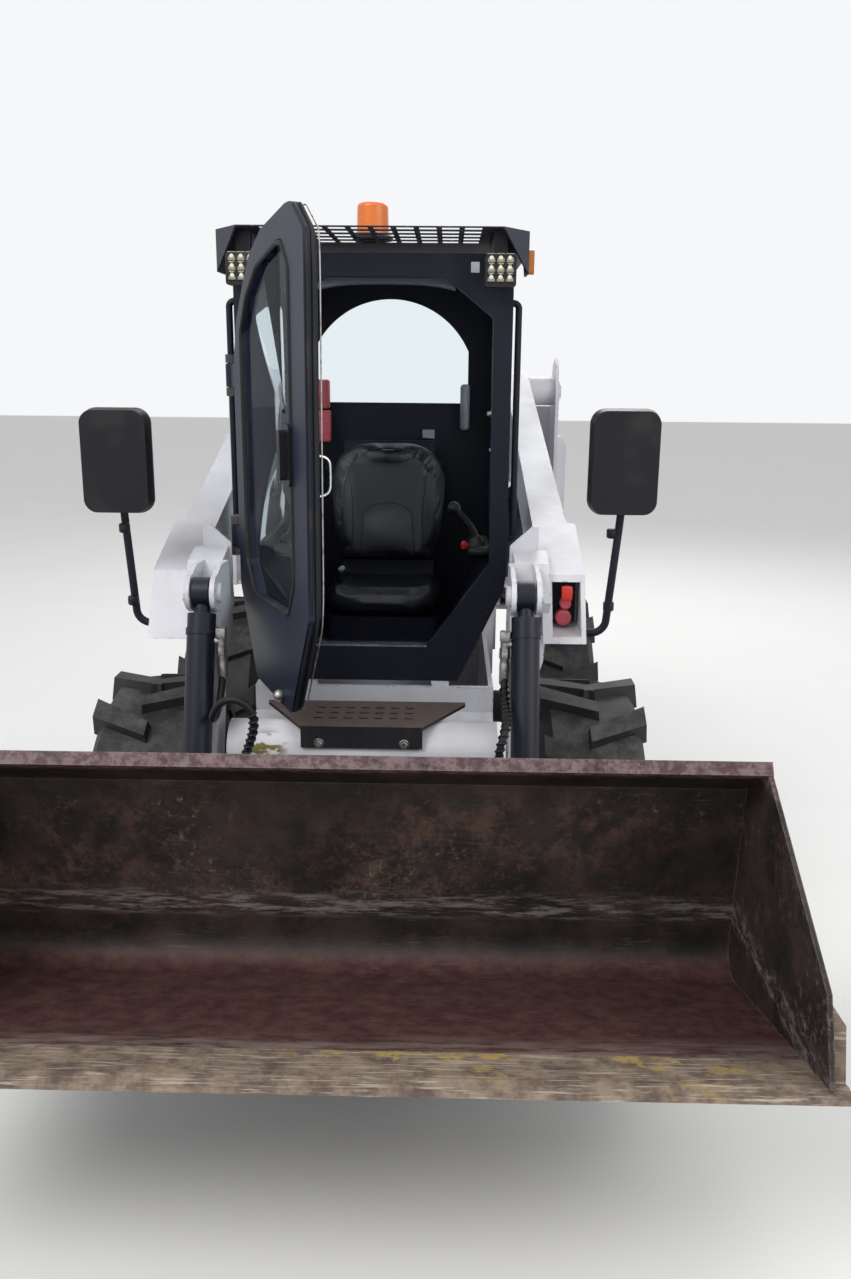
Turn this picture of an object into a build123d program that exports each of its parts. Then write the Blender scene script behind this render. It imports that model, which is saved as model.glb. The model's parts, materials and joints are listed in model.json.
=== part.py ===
"""Skid-steer loader with a closed cab and a dirt bucket, in millimetres.

+Z is up and the machine faces -Y, so its left side is +X. The ground is Z = 0, and the origin is
on the ground under the middle of the machine's length. Side views are drawn from a zero line just
ahead of the front axle: the first number runs back along Y and the second runs up from the ground.
"""
import os
from math import atan2, cos, degrees, hypot, radians, sin, tan

from build123d import *

os.makedirs("parts", exist_ok=True)

# Fits
RUNNING = 0.05
SEAT_GAP = 0.3
SIDE_PLAY = 2

# Wheels: the front axle lies FRONT_WHEEL behind the zero line
FRONT_WHEEL = 28
WHEELBASE = 1072
TRACK_HALF = 607
TYRE_RADIUS = 412
TYRE_HALF = 145
CROWN_HALF = 112
LUG_HEIGHT = 24
LUGS_PER_SIDE = 12
RIM_RADIUS = 214
RIM_HALF = 106
RIM_FLANGE = 12
HUB_RADIUS = 92
SPINDLE_RADIUS = 32
HOUSING_RADIUS = 62
HOUSING_END = 600
SPINDLE_END = 57

# Chassis
BELLY_Z = 200
TUB_HALF = 344
TUB_TOP = 800
TUB_FRONT = -88
BAY_HALF = 384
BAY_FRONT = 1042
BAY_WALL = 12
FRAME_REAR = 1800
HOOD_Z = 1055
HOOD_THICK = 26
HOOD_FRONT = BAY_FRONT + 24
HOOD_HALF = 378
TAIL_OPENING = 306
POST_DEPTH = 60
TAIL_THICK = 60
TAIL_OVERLAP = 12
TIE_DOWN = (1702, 430)
TIE_DOWN_RADIUS = 25

# Lift arms
PIVOT = (1250, 1605)
PIVOT_PIN = 25
BEAM_DEPTH = 140
BEAM_SLOPE = 20
BEAM_FRONT_X = (455, 540)
BEAM_REAR_X = (405, 490)
KNEE_TOP = (-140, 1175)
KNEE_BOTTOM = (-232, 1012)
KNEE_OUTER = 565
KNEE_END = 120
ARM_INNER = 364
ARM_OUTER = 438
ARM_PLATE = 12

# Towers that carry the arms
TOWER_PLATE = 12
TOWER_OUTER = 610
SPACER_RADIUS = 52
BOSS_PLAY = 12

# Lift cylinders
LIFT_X = 460
LIFT_BASE = (1600, 740)
LIFT_EYE = (930, 1332)
LIFT_BARREL = 40
LIFT_BARREL_LENGTH = 770
LIFT_ROD = 22
LIFT_ROD_LENGTH = 590
LIFT_PIN = 16
LIFT_EYE_WIDTH = 48

# Tilt cylinders
TILT_X = (ARM_INNER + ARM_OUTER) / 2
TILT_BASE = (-300, 1150)
TILT_BARREL = 35
TILT_BARREL_LENGTH = 545
TILT_ROD = 19
TILT_ROD_LENGTH = 520
TILT_PIN = 16
TILT_EYE_WIDTH = 40

# Coupler and bucket
REST_CURL = 15
BACK_LEAN = 20
COUPLER_PIVOT = (-500, 340)
COUPLER_PIN = 20
COUPLER_BOSS = 42
TILT_EYE_REACH = 190
TILT_EYE_LEAN = 3
EAR = 10
EAR_PLAY = 4
COUPLER_PLATE = 12
COUPLER_SETBACK = 54
COUPLER_TOP = 250
COUPLER_BOTTOM = -40
BUCKET_HALF = 895
BUCKET_SKIN = 8
BUCKET_SIDE = 10
FLOOR_Y = -62
HEEL = (-78, FLOOR_Y)
TOP_BEND = (-250, 396)
LIP = (-403, 452)
CHEEK = (-765, 100)
TOE = (-785, FLOOR_Y)
HEEL_RADIUS = 60
EDGE_TIP = -800
EDGE_THICK = 20
EDGE_BACK = -640
EDGE_HALF = BUCKET_HALF + 30

# Cab
CAB_HALF = 372
CAB_FRONT = 79
CAB_REAR = 1030
CAB_BOTTOM = 816
CAB_WALL = 22
CAB_FRONT_WALL = 30
ROOF_Z = 1985
VISOR_Z = 2038
VISOR_PLATE = 2.5
VISOR_REAR = 680
VISOR_FEET = (80, 420)
VISOR_HALF = 408
GLASS = 5
CAB_PIVOT = (1014, 1106)
CAB_PIN = 12
CAB_EAR = 8
SEAT_HALF = 218
SEAT_FRONT = 420
SEAT_REAR = 850
SEAT_TOP = 1020
DECK_Z = CAB_BOTTOM + CAB_WALL
CUSHION_THICK = 110

# Door
HINGE_X = -380
HINGE_Y = 38
DOOR_OPEN = 66.5
DOOR_BACK = 34
DOOR_FACE = 2
DOOR_TOP = VISOR_Z - VISOR_PLATE - 6
DOOR_LOW = 892

# Places worked out from the sizes above
PIVOT_LINE = tan(radians(BEAM_SLOPE))
CURL_COS = cos(radians(REST_CURL))
CURL_SIN = sin(radians(REST_CURL))
FRONT_TIP = COUPLER_PIVOT[0] + EDGE_TIP * CURL_COS + (FLOOR_Y - EDGE_THICK) * CURL_SIN
ZERO_Y = -(FRONT_TIP + FRAME_REAR + TAIL_THICK) / 2
SIDES = (("left", 1), ("right", -1))


def side(x=0):
    """Side view at x: local x runs back from the zero line, and local y runs up."""
    return Plane(origin=(x, ZERO_Y, 0), x_dir=(0, 1, 0), z_dir=(1, 0, 0))


def plan(z):
    """Plan view at height z: local x is X, and local y runs back from the zero line."""
    return Plane(origin=(0, ZERO_Y, z), x_dir=(1, 0, 0), z_dir=(0, 0, 1))


def front(y):
    """Front view at y behind the zero line: local x is X, local y is up, and it faces forward."""
    return Plane(origin=(0, ZERO_Y + y, 0), x_dir=(1, 0, 0), z_dir=(0, -1, 0))


def tool(x=0, lean=0):
    """Side view at x in the bucket's own frame about the coupler pivot, tilted by its rest curl."""
    turn = radians(REST_CURL - lean)
    origin = (x, ZERO_Y + COUPLER_PIVOT[0], COUPLER_PIVOT[1])
    return Plane(origin=origin, x_dir=(0, cos(turn), -sin(turn)), z_dir=(1, 0, 0))


def plate(x=0):
    """Like tool, with local y up the bucket's leaning back."""
    return tool(x, BACK_LEAN)


def door_plane(depth=0):
    """The open door: local x runs from the hinge, local y is up, and it faces out of the door."""
    turn = radians(DOOR_OPEN)
    out = (-sin(turn), -cos(turn), 0)
    origin = (
        HINGE_X + depth * out[0],
        ZERO_Y + HINGE_Y + depth * out[1],
        0,
    )
    return Plane(origin=origin, x_dir=(cos(turn), -sin(turn), 0), z_dir=out)


def save(piece, name):
    """Name a finished piece and write it."""
    piece.label = name
    export_step(piece, f"parts/{name}.step")


def save_both(piece, name):
    """Write a left piece and its mirror image on the right."""
    save(piece, f"{name}_left")
    save(mirror(piece, about=Plane.YZ), f"{name}_right")


# Mainframe: tub under the cab, engine bay behind it, both open on top
TUB_PROFILE = [
    (TUB_FRONT, 255),
    (TUB_FRONT + 35, BELLY_Z),
    (FRAME_REAR - 120, BELLY_Z),
    (FRAME_REAR, 310),
    (FRAME_REAR, 620),
    (BAY_FRONT, 620),
    (BAY_FRONT, TUB_TOP),
    (CAB_FRONT - 9, TUB_TOP),
    (CAB_FRONT - 9, 725),
    (TUB_FRONT, 640),
]
WELL_PROFILE = [
    (TUB_FRONT + 16, 300),
    (TUB_FRONT + 16, 630),
    (CAB_FRONT + 9, 722),
    (CAB_FRONT + 9, TUB_TOP + 1),
    (BAY_FRONT - 14, TUB_TOP + 1),
    (BAY_FRONT - 14, 300),
]
with BuildPart() as mainframe:
    with BuildSketch(side()):
        Polygon(*TUB_PROFILE, align=None)
    extrude(amount=TUB_HALF, both=True)
    with BuildSketch(side()):
        with Locations(((BAY_FRONT + FRAME_REAR) / 2, (560 + HOOD_Z) / 2)):
            Rectangle(FRAME_REAR - BAY_FRONT, HOOD_Z - 560)
    extrude(amount=BAY_HALF, both=True)
    with BuildSketch(side()):
        Polygon(*WELL_PROFILE, align=None)
    extrude(amount=TUB_HALF - 14, both=True, mode=Mode.SUBTRACT)
    with BuildSketch(side()):
        with Locations(((BAY_FRONT + BAY_WALL + FRAME_REAR + 40) / 2, 820)):
            Rectangle(FRAME_REAR + 40 - BAY_FRONT - BAY_WALL, 1000)
    extrude(amount=TUB_HALF - 14, both=True, mode=Mode.SUBTRACT)
    with BuildSketch(side()):
        with Locations(((BAY_FRONT + BAY_WALL + FRAME_REAR + 40) / 2, 820)):
            Rectangle(FRAME_REAR + 40 - BAY_FRONT - BAY_WALL, 2 * (820 - 572))
    extrude(amount=BAY_HALF - BAY_WALL, both=True, mode=Mode.SUBTRACT)
    # Rear posts that the tailgate closes on
    with BuildSketch(plan(BELLY_Z + 120)):
        for x in (TAIL_OPENING, -BAY_HALF):
            with Locations((x + (BAY_HALF - TAIL_OPENING) / 2, FRAME_REAR - POST_DEPTH / 2)):
                Rectangle(BAY_HALF - TAIL_OPENING, POST_DEPTH)
    extrude(amount=HOOD_Z - BELLY_Z - 120)
    # Tie-down holes in both side plates, ahead of the rear posts
    with BuildSketch(side()):
        with Locations(TIE_DOWN):
            Circle(TIE_DOWN_RADIUS)
    extrude(amount=TUB_HALF + 1, both=True, mode=Mode.SUBTRACT)
    # Rubber mounts that the cab rests on, and the ears and pins it tilts about
    with BuildSketch(plan(TUB_TOP)):
        with GridLocations(2 * 190, 0, 2, 1):
            with Locations((0, CAB_FRONT + 1)):
                Rectangle(50, 17)
    extrude(amount=CAB_BOTTOM - TUB_TOP - SEAT_GAP)
    for x, amount in ((BAY_HALF - 1, CAB_EAR), (1 - BAY_HALF, -CAB_EAR)):
        with BuildSketch(side(x)):
            with Locations(CAB_PIVOT):
                Circle(24)
            Polygon(
                (CAB_PIVOT[0] - 24, CAB_PIVOT[1]),
                (CAB_PIVOT[0] + 10, CAB_PIVOT[1] + 22),
                (HOOD_FRONT - 6, HOOD_Z),
                (HOOD_FRONT - 6, HOOD_Z - 60),
                (BAY_FRONT, HOOD_Z - 60),
                align=None,
            )
        extrude(amount=amount)
    pin_out = BAY_HALF - 1 + CAB_EAR
    pin_length = pin_out - CAB_HALF + CAB_WALL - 2
    for x, amount in ((pin_out, -pin_length), (-pin_out, pin_length)):
        with BuildSketch(side(x)):
            with Locations(CAB_PIVOT):
                Circle(CAB_PIN)
        extrude(amount=amount)
    # Seams between the two side plates, the belly, the front wall and the bay's wall
    for x in (TAIL_OPENING - SEAT_GAP, -TAIL_OPENING):
        with BuildSketch(side(x)):
            with Locations((FRAME_REAR / 2, HOOD_Z / 2)):
                Rectangle(FRAME_REAR + 400, HOOD_Z + 200)
        extrude(amount=SEAT_GAP, mode=Mode.SUBTRACT)
    for y, z, wide in ((TUB_FRONT + 8, 300, 20), (BAY_FRONT - 1, 320, 30)):
        with BuildSketch(side()):
            with Locations((y, z + SEAT_GAP / 2)):
                Rectangle(wide, SEAT_GAP)
        extrude(amount=TAIL_OPENING, both=True, mode=Mode.SUBTRACT)
save(mainframe.part, "mainframe")

# Front step: a round bar across the frame, on two brackets, with a worn tread plate
BAR = (-330, 757)
BAR_RADIUS = 72
with BuildPart() as step_bar:
    with BuildSketch(side()):
        with Locations(BAR):
            Circle(BAR_RADIUS)
    extrude(amount=TUB_HALF - 8, both=True)
    for x in (-TUB_HALF + 8, TUB_HALF - 20):
        with BuildSketch(side(x)):
            Polygon(
                (BAR[0], BAR[1] - BAR_RADIUS + 8),
                (BAR[0] + 20, BAR[1] + 50),
                (TUB_FRONT - SEAT_GAP, 625),
                (TUB_FRONT - SEAT_GAP, 470),
                (BAR[0] + 60, 610),
                align=None,
            )
        extrude(amount=12)
save(step_bar.part, "step_bar")

TREAD_Z = BAR[1] + BAR_RADIUS + 4
with BuildPart() as step:
    with BuildSketch(plan(TREAD_Z)):
        Polygon((-150, -408), (150, -408), (258, -215), (258, -200), (-258, -200), (-258, -215), align=None)
    extrude(amount=8)
    with BuildSketch(front(-396)):
        with Locations((0, TREAD_Z - 24)):
            Rectangle(300, 48)
            with GridLocations(210, 0, 2, 1):
                Circle(7, mode=Mode.SUBTRACT)
    extrude(amount=12)
    with BuildSketch(side()):
        Polygon(
            (-396, TREAD_Z),
            (-396, TREAD_Z - 14),
            (-250, TREAD_Z - 14),
            (-250, TREAD_Z),
            align=None,
        )
    extrude(amount=60, both=True)
    with BuildSketch(side()):
        with Locations(BAR):
            Circle(BAR_RADIUS + SEAT_GAP)
    extrude(amount=300, both=True, mode=Mode.SUBTRACT)
    with BuildSketch(plan(TREAD_Z + 8)):
        with Locations((0, -300)):
            with GridLocations(38, 42, 7, 3):
                Ellipse(11, 4)
    extrude(amount=2.5)
save(step.part, "step")

# Axle housings: four stubs with their spindles
with BuildPart() as axle_housings:
    for axle_y in (FRONT_WHEEL, FRONT_WHEEL + WHEELBASE):
        for x, amount in ((TUB_HALF, HOUSING_END - TUB_HALF), (-TUB_HALF, TUB_HALF - HOUSING_END)):
            with BuildSketch(side(x)):
                with Locations((axle_y, TYRE_RADIUS)):
                    Circle(HOUSING_RADIUS)
            extrude(amount=amount)
        for x, amount in ((HOUSING_END - 10, SPINDLE_END), (-HOUSING_END + 10, -SPINDLE_END)):
            with BuildSketch(side(x)):
                with Locations((axle_y, TYRE_RADIUS)):
                    Circle(SPINDLE_RADIUS)
            extrude(amount=amount)
        for x, amount in ((TUB_HALF, 16), (-TUB_HALF, -16)):
            with BuildSketch(side(x)):
                with Locations((axle_y, TYRE_RADIUS)):
                    Circle(HOUSING_RADIUS + 34)
            extrude(amount=amount)
save(axle_housings.part, "axle_housings")

# Tyre and rim, made at the origin with the axle along X and the outside towards +X
CARCASS = [
    (RIM_HALF - 1, RIM_RADIUS + SEAT_GAP),
    (RIM_HALF - 1, RIM_RADIUS + RIM_FLANGE + 4),
    (TYRE_HALF - 8, 258),
    (TYRE_HALF - 2, 300),
    (TYRE_HALF - 12, 356),
    (CROWN_HALF, TYRE_RADIUS - LUG_HEIGHT),
]
LUG = [(-22, -62), (TYRE_HALF + 1, 8), (TYRE_HALF + 1, 92), (-22, 6)]
LUG_ROOT = 346
with BuildPart() as lug:
    with BuildSketch(Plane.XY.offset(LUG_ROOT)):
        Polygon(*LUG, align=None)
    extrude(amount=TYRE_RADIUS - LUG_ROOT, taper=7)
with BuildPart() as tyre:
    with BuildSketch(Plane.XZ):
        Polygon(*CARCASS, *[(-x, r) for x, r in reversed(CARCASS)], align=None)
    revolve(axis=Axis.X)
    for i in range(LUGS_PER_SIDE):
        turn = 360 / LUGS_PER_SIDE
        add(lug.part.rotate(Axis.X, i * turn))
        add(mirror(lug.part, about=Plane.YZ).rotate(Axis.X, (i + 0.5) * turn))

BORE = SPINDLE_RADIUS + RUNNING
RIM_SECTION = [
    (60, 0),
    (60, 48),
    (48, 62),
    (48, 120),
    (40, RIM_RADIUS - 10),
    (RIM_HALF + 6, RIM_RADIUS - 10),
    (RIM_HALF + 6, RIM_RADIUS + RIM_FLANGE),
    (RIM_HALF, RIM_RADIUS + RIM_FLANGE),
    (RIM_HALF, RIM_RADIUS),
    (-RIM_HALF, RIM_RADIUS),
    (-RIM_HALF, RIM_RADIUS + RIM_FLANGE),
    (-RIM_HALF - 6, RIM_RADIUS + RIM_FLANGE),
    (-RIM_HALF - 6, RIM_RADIUS - 10),
    (28, RIM_RADIUS - 10),
    (36, 120),
    (30, HUB_RADIUS),
    (-5, HUB_RADIUS),
    (-5, BORE),
    (52, BORE),
    (52, 0),
]
with BuildPart() as rim:
    with BuildSketch(Plane.XZ):
        Polygon(*RIM_SECTION, align=None)
    revolve(axis=Axis.X)
    with BuildSketch(Plane.YZ.offset(46)):
        with PolarLocations(92, 8):
            RegularPolygon(13, 6)
    extrude(amount=16)
    with BuildSketch(Plane.YZ):
        with PolarLocations(160, 6):
            Circle(20)
    extrude(amount=80, mode=Mode.SUBTRACT)

for end, axle_y in (("front", FRONT_WHEEL), ("rear", FRONT_WHEEL + WHEELBASE)):
    place = Pos(TRACK_HALF, ZERO_Y + axle_y, TYRE_RADIUS)
    save_both(place * tyre.part, f"tyre_{end}")
    save_both(place * rim.part, f"rim_{end}")

# Towers: two plates a side that hold the arm's pivot and the lift cylinder's base
TOWER_INNER_PLATE = [
    (BAY_FRONT + 60, 640),
    (BAY_FRONT + 60, 1050),
    (1160, 1600),
    (1205, 1690),
    (1250, 1712),
    (1315, 1694),
    (1372, 1600),
    (1790, 1040),
    (1790, 700),
    (1720, 640),
]
TOWER_OUTER_PLATE = [
    (1140, 872),
    (1166, 1590),
    (1210, 1700),
    (1250, 1724),
    (1318, 1704),
    (1384, 1600),
    (1440, 1240),
    (1330, 872),
]
with BuildPart() as tower:
    with BuildSketch(side(BAY_HALF)):
        Polygon(*TOWER_INNER_PLATE, align=None)
    extrude(amount=TOWER_PLATE)
    with BuildSketch(side(TOWER_OUTER - TOWER_PLATE)):
        Polygon(*TOWER_OUTER_PLATE, align=None)
    extrude(amount=TOWER_PLATE)
    # Spacer tube, pivot pin and its cap
    with BuildSketch(side(BEAM_REAR_X[1] + BOSS_PLAY)):
        with Locations(PIVOT):
            Circle(SPACER_RADIUS)
    extrude(amount=TOWER_OUTER - BEAM_REAR_X[1] - BOSS_PLAY - 5)
    with BuildSketch(side(BAY_HALF + 2)):
        with Locations(PIVOT):
            Circle(PIVOT_PIN)
    extrude(amount=TOWER_OUTER + 14 - BAY_HALF - 2)
    with BuildSketch(side(TOWER_OUTER - 1)):
        with Locations(PIVOT):
            Circle(40)
    extrude(amount=9)
    # Shelf over the tyre, rear web and the folded guard on the outer plate
    with BuildSketch(plan(874)):
        with Locations(((BAY_HALF + TOWER_OUTER) / 2, 1220)):
            Rectangle(TOWER_OUTER - BAY_HALF - 2, 150)
    extrude(amount=TOWER_PLATE)
    with BuildSketch(front(1392)):
        with Locations(((BAY_HALF + TOWER_OUTER) / 2, 1400)):
            Rectangle(TOWER_OUTER - BAY_HALF - 2, 290)
    extrude(amount=TOWER_PLATE)
    with BuildSketch(front(1210)):
        with BuildLine():
            Polyline(
                (TOWER_OUTER - 2, 880),
                (TOWER_OUTER - 2, 1440),
                (TOWER_OUTER + 20, 1440),
                (TOWER_OUTER + 38, 1410),
                (TOWER_OUTER + 38, 900),
                (TOWER_OUTER + 20, 880),
                close=True,
            )
        make_face()
    extrude(amount=-90)
    # Lift cylinder bracket
    with BuildSketch(side(BAY_HALF + 2)):
        with Locations(LIFT_BASE):
            Circle(34)
    extrude(amount=LIFT_X - LIFT_EYE_WIDTH / 2 - SIDE_PLAY - BAY_HALF - 2)
    with BuildSketch(side(LIFT_X + LIFT_BARREL + 6)):
        with Locations(LIFT_BASE):
            Circle(44)
        Polygon(
            (LIFT_BASE[0], LIFT_BASE[1] + 44),
            (LIFT_BASE[0] + 82, LIFT_BASE[1] + 30),
            (LIFT_BASE[0] + 82, LIFT_BASE[1] - 70),
            (LIFT_BASE[0] - 20, LIFT_BASE[1] - 44),
            align=None,
        )
    extrude(amount=TOWER_PLATE)
    with BuildSketch(front(LIFT_BASE[0] + 82)):
        with Locations(((BAY_HALF + LIFT_X + LIFT_BARREL + 6) / 2 + TOWER_PLATE, LIFT_BASE[1] - 20)):
            Rectangle(LIFT_X + LIFT_BARREL + 6 - BAY_HALF, 100)
    extrude(amount=TOWER_PLATE)
    with BuildSketch(side(BAY_HALF + 2)):
        with Locations(LIFT_BASE):
            Circle(LIFT_PIN)
    extrude(amount=LIFT_X + LIFT_BARREL + 26 - BAY_HALF - 2)
save_both(tower.part, "tower")

# Engine block, hood grille, tailgate and tail lamps
with BuildPart() as engine:
    with BuildSketch(plan(BELLY_Z + 120)):
        with Locations((0, 1370)):
            Rectangle(430, 520)
    extrude(amount=560)
    fillet(engine.edges().filter_by(Axis.Z), 40)
save(engine.part, "engine")

with BuildPart() as hood:
    with BuildSketch(plan(HOOD_Z + SEAT_GAP)):
        with Locations((0, (HOOD_FRONT + FRAME_REAR) / 2)):
            Rectangle(2 * HOOD_HALF, FRAME_REAR - HOOD_FRONT)
            with GridLocations(0, 44, 1, 13):
                Rectangle(540, 22, mode=Mode.SUBTRACT)
    extrude(amount=HOOD_THICK)
    fillet(hood.edges().filter_by(Axis.Z).group_by(Axis.Y)[-1], 30)
save(hood.part, "hood_grille")

TAIL_LOW = 330
with BuildPart() as tailgate:
    with BuildSketch(front(FRAME_REAR + SEAT_GAP)):
        with Locations((0, (TAIL_LOW + HOOD_Z) / 2)):
            RectangleRounded(2 * (TAIL_OPENING + TAIL_OVERLAP), HOOD_Z - TAIL_LOW, 40)
            with Locations((0, 40)):
                with GridLocations(0, 42, 1, 9):
                    SlotCenterToCenter(380, 18, mode=Mode.SUBTRACT)
    extrude(amount=-TAIL_THICK + SEAT_GAP)
    with BuildSketch(front(FRAME_REAR + 14)):
        with Locations((0, (TAIL_LOW + HOOD_Z) / 2)):
            RectangleRounded(2 * (TAIL_OPENING - 10), HOOD_Z - TAIL_LOW - 44, 30)
            with Locations((0, 40)):
                with GridLocations(0, 42, 1, 9):
                    SlotCenterToCenter(380, 18, mode=Mode.SUBTRACT)
    extrude(amount=14, mode=Mode.SUBTRACT)
save(tailgate.part, "tailgate")

with BuildPart() as tail_lamps:
    for x in (-BAY_HALF + 32, BAY_HALF - 32):
        with BuildSketch(front(FRAME_REAR + SEAT_GAP)):
            with Locations((x, 960)):
                RectangleRounded(50, 130, 10)
        extrude(amount=-34)
save(tail_lamps.part, "tail_lamps")


# Lift arms: a sloping beam, the knee box, and a lower arm in front of the wheel
def beam_top(y):
    return KNEE_TOP[1] + (y - KNEE_TOP[0]) * PIVOT_LINE


PIVOT_ABOVE = (beam_top(PIVOT[0]) - PIVOT[1]) * cos(radians(BEAM_SLOPE))
BEAM_DROP = BEAM_DEPTH / cos(radians(BEAM_SLOPE))
UP = (-sin(radians(BEAM_SLOPE)), cos(radians(BEAM_SLOPE)))
BEAM_PROFILE = [
    KNEE_BOTTOM,
    KNEE_TOP,
    (PIVOT[0] + PIVOT_ABOVE * UP[0], PIVOT[1] + PIVOT_ABOVE * UP[1]),
    (PIVOT[0] - (BEAM_DEPTH - PIVOT_ABOVE) * UP[0], PIVOT[1] - (BEAM_DEPTH - PIVOT_ABOVE) * UP[1]),
    (260, beam_top(260) - BEAM_DROP),
    (70, KNEE_BOTTOM[1] + 42),
]
BEAM_PLAN = [
    (BEAM_FRONT_X[0], KNEE_BOTTOM[0] - 10),
    (KNEE_OUTER, KNEE_BOTTOM[0] - 10),
    (KNEE_OUTER, KNEE_END),
    (BEAM_FRONT_X[1], KNEE_END + 12),
    (BEAM_REAR_X[1], PIVOT[0] + 90),
    (BEAM_REAR_X[0], PIVOT[0] + 90),
]
HOOD_INNER = 380
HOOD_BOX = [(-232, 1118), (-150, 1205), (-66, 1226), (-38, 1196), (-10, 1062), (-120, 1026)]
LOWER_ARM = [
    (-150, 1205),
    (-258, 1120),
    (-286, 1060),
    (-468, 560),
    (-541, 352),
    (-512, 300),
    (-452, 322),
    (-352, 520),
    (-222, 950),
    (-120, 1026),
]
TILT_EAR = [(-330, 1182), (-240, 1210), (-150, 1205), (-200, 1110), (-296, 1100), (-334, 1122)]
FLANGE = [
    (ARM_OUTER - 4, 890),
    (ARM_OUTER - 4, 1030),
    (BEAM_FRONT_X[0] + 6, 1030),
    (BEAM_FRONT_X[0] + 2, 960),
]
with BuildPart() as arm:
    with BuildSketch(side(BEAM_REAR_X[0] - 10)):
        Polygon(*BEAM_PROFILE, align=None)
        with Locations(PIVOT):
            Circle(PIVOT_ABOVE)
    extrude(amount=KNEE_OUTER - BEAM_REAR_X[0] + 20)
    with BuildSketch(plan(900)):
        Polygon(*BEAM_PLAN, align=None)
    extrude(amount=900, mode=Mode.INTERSECT)
    with BuildSketch(side(HOOD_INNER)):
        Polygon(*HOOD_BOX, align=None)
    extrude(amount=BEAM_FRONT_X[0] + 15 - HOOD_INNER)
    with BuildSketch(side(ARM_INNER)):
        Polygon(*LOWER_ARM, align=None)
        with Locations(COUPLER_PIVOT):
            Circle(COUPLER_BOSS)
    extrude(amount=ARM_OUTER - ARM_INNER)
    # Ears that hold the tilt cylinder's base, with their pin
    for x in (ARM_INNER, ARM_OUTER - ARM_PLATE):
        with BuildSketch(side(x)):
            with Locations(TILT_BASE):
                Circle(44)
            Polygon(*TILT_EAR, align=None)
        extrude(amount=ARM_PLATE)
    with BuildSketch(side(ARM_INNER + ARM_PLATE)):
        with Locations(TILT_BASE):
            Circle(52)
    extrude(amount=ARM_OUTER - ARM_INNER - 2 * ARM_PLATE, mode=Mode.SUBTRACT)
    with BuildSketch(side(ARM_INNER - 12)):
        with Locations(TILT_BASE):
            Circle(25)
    extrude(amount=14)
    with BuildSketch(side(ARM_INNER - 10)):
        with Locations(TILT_BASE):
            Circle(TILT_PIN)
    extrude(amount=ARM_OUTER - ARM_INNER + 18)
    # Flange under the knee, and the ears of the lift cylinder's rod
    with BuildSketch(front(-205)):
        Polygon(*FLANGE, align=None)
    extrude(amount=12)
    for x in (LIFT_X - LIFT_EYE_WIDTH / 2 - SIDE_PLAY - 12, LIFT_X + LIFT_EYE_WIDTH / 2 + SIDE_PLAY):
        with BuildSketch(side(x)):
            with Locations(LIFT_EYE):
                Circle(34)
            Polygon(
                (LIFT_EYE[0] - 34, LIFT_EYE[1]),
                (LIFT_EYE[0] - 78, beam_top(LIFT_EYE[0] - 78) - BEAM_DROP + 6),
                (LIFT_EYE[0] + 90, beam_top(LIFT_EYE[0] + 90) - BEAM_DROP + 6),
                (LIFT_EYE[0] + 34, LIFT_EYE[1]),
                align=None,
            )
        extrude(amount=12)
    for x in (LIFT_X - LIFT_EYE_WIDTH / 2 - SIDE_PLAY - 18, LIFT_X + LIFT_EYE_WIDTH / 2 + SIDE_PLAY + 10):
        with BuildSketch(side(x)):
            with Locations(LIFT_EYE):
                Circle(LIFT_PIN + 6)
        extrude(amount=8)
    # Bores for the arm's pivot pin and the coupler's pin
    with BuildSketch(side(BEAM_REAR_X[0] - 20)):
        with Locations(PIVOT):
            Circle(PIVOT_PIN + RUNNING)
    extrude(amount=200, mode=Mode.SUBTRACT)
    with BuildSketch(side(ARM_INNER - 1)):
        with Locations(COUPLER_PIVOT):
            Circle(COUPLER_PIN + RUNNING)
    extrude(amount=ARM_OUTER - ARM_INNER + 2, mode=Mode.SUBTRACT)
save(mirror(arm.part, about=Plane.YZ), "lift_arm_right")

# The left arm's knee box is open in front for the hose couplers
POCKET_BACK = -80
POCKET = [
    (-270, 1024),
    (POCKET_BACK, 1040),
    (POCKET_BACK, beam_top(POCKET_BACK) - 14),
    (-270, beam_top(-270) - 14),
]
with BuildPart() as arm_left:
    add(arm.part)
    with BuildSketch(side(BEAM_FRONT_X[0] + 24)):
        Polygon(*POCKET, align=None)
    extrude(amount=KNEE_OUTER - BEAM_FRONT_X[0] - 36, mode=Mode.SUBTRACT)
save(arm_left.part, "lift_arm_left")

TORQUE_TUBE = (-404, 470)
with BuildPart() as torque_tube:
    with BuildSketch(side()):
        with Locations(TORQUE_TUBE):
            Circle(42)
    extrude(amount=ARM_INNER, both=True)
save(torque_tube.part, "torque_tube")

# Hose couplers in the left knee box: a block with three capped couplers
BLOCK_DEPTH = 30
with BuildPart() as coupler_block:
    with BuildSketch(front(POCKET_BACK - SEAT_GAP)):
        with Locations((516, 1105)):
            Rectangle(60, 120)
    extrude(amount=BLOCK_DEPTH)
save(coupler_block.part, "coupler_block")
CAPS = ((520, 1132, 14), (516, 1100, 15), (512, 1063, 21))
with BuildPart() as coupler_caps:
    for x, z, radius in CAPS:
        with BuildSketch(front(POCKET_BACK - BLOCK_DEPTH - 2 * SEAT_GAP)):
            with Locations((x, z)):
                Circle(radius * 0.7)
        extrude(amount=24)
        with BuildSketch(front(POCKET_BACK - BLOCK_DEPTH - 24)):
            with Locations((x, z)):
                Circle(radius)
        extrude(amount=26)
    fillet(coupler_caps.edges().filter_by(GeomType.CIRCLE).group_by(Axis.Y)[0], 6)
save(coupler_caps.part, "coupler_caps")


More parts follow.
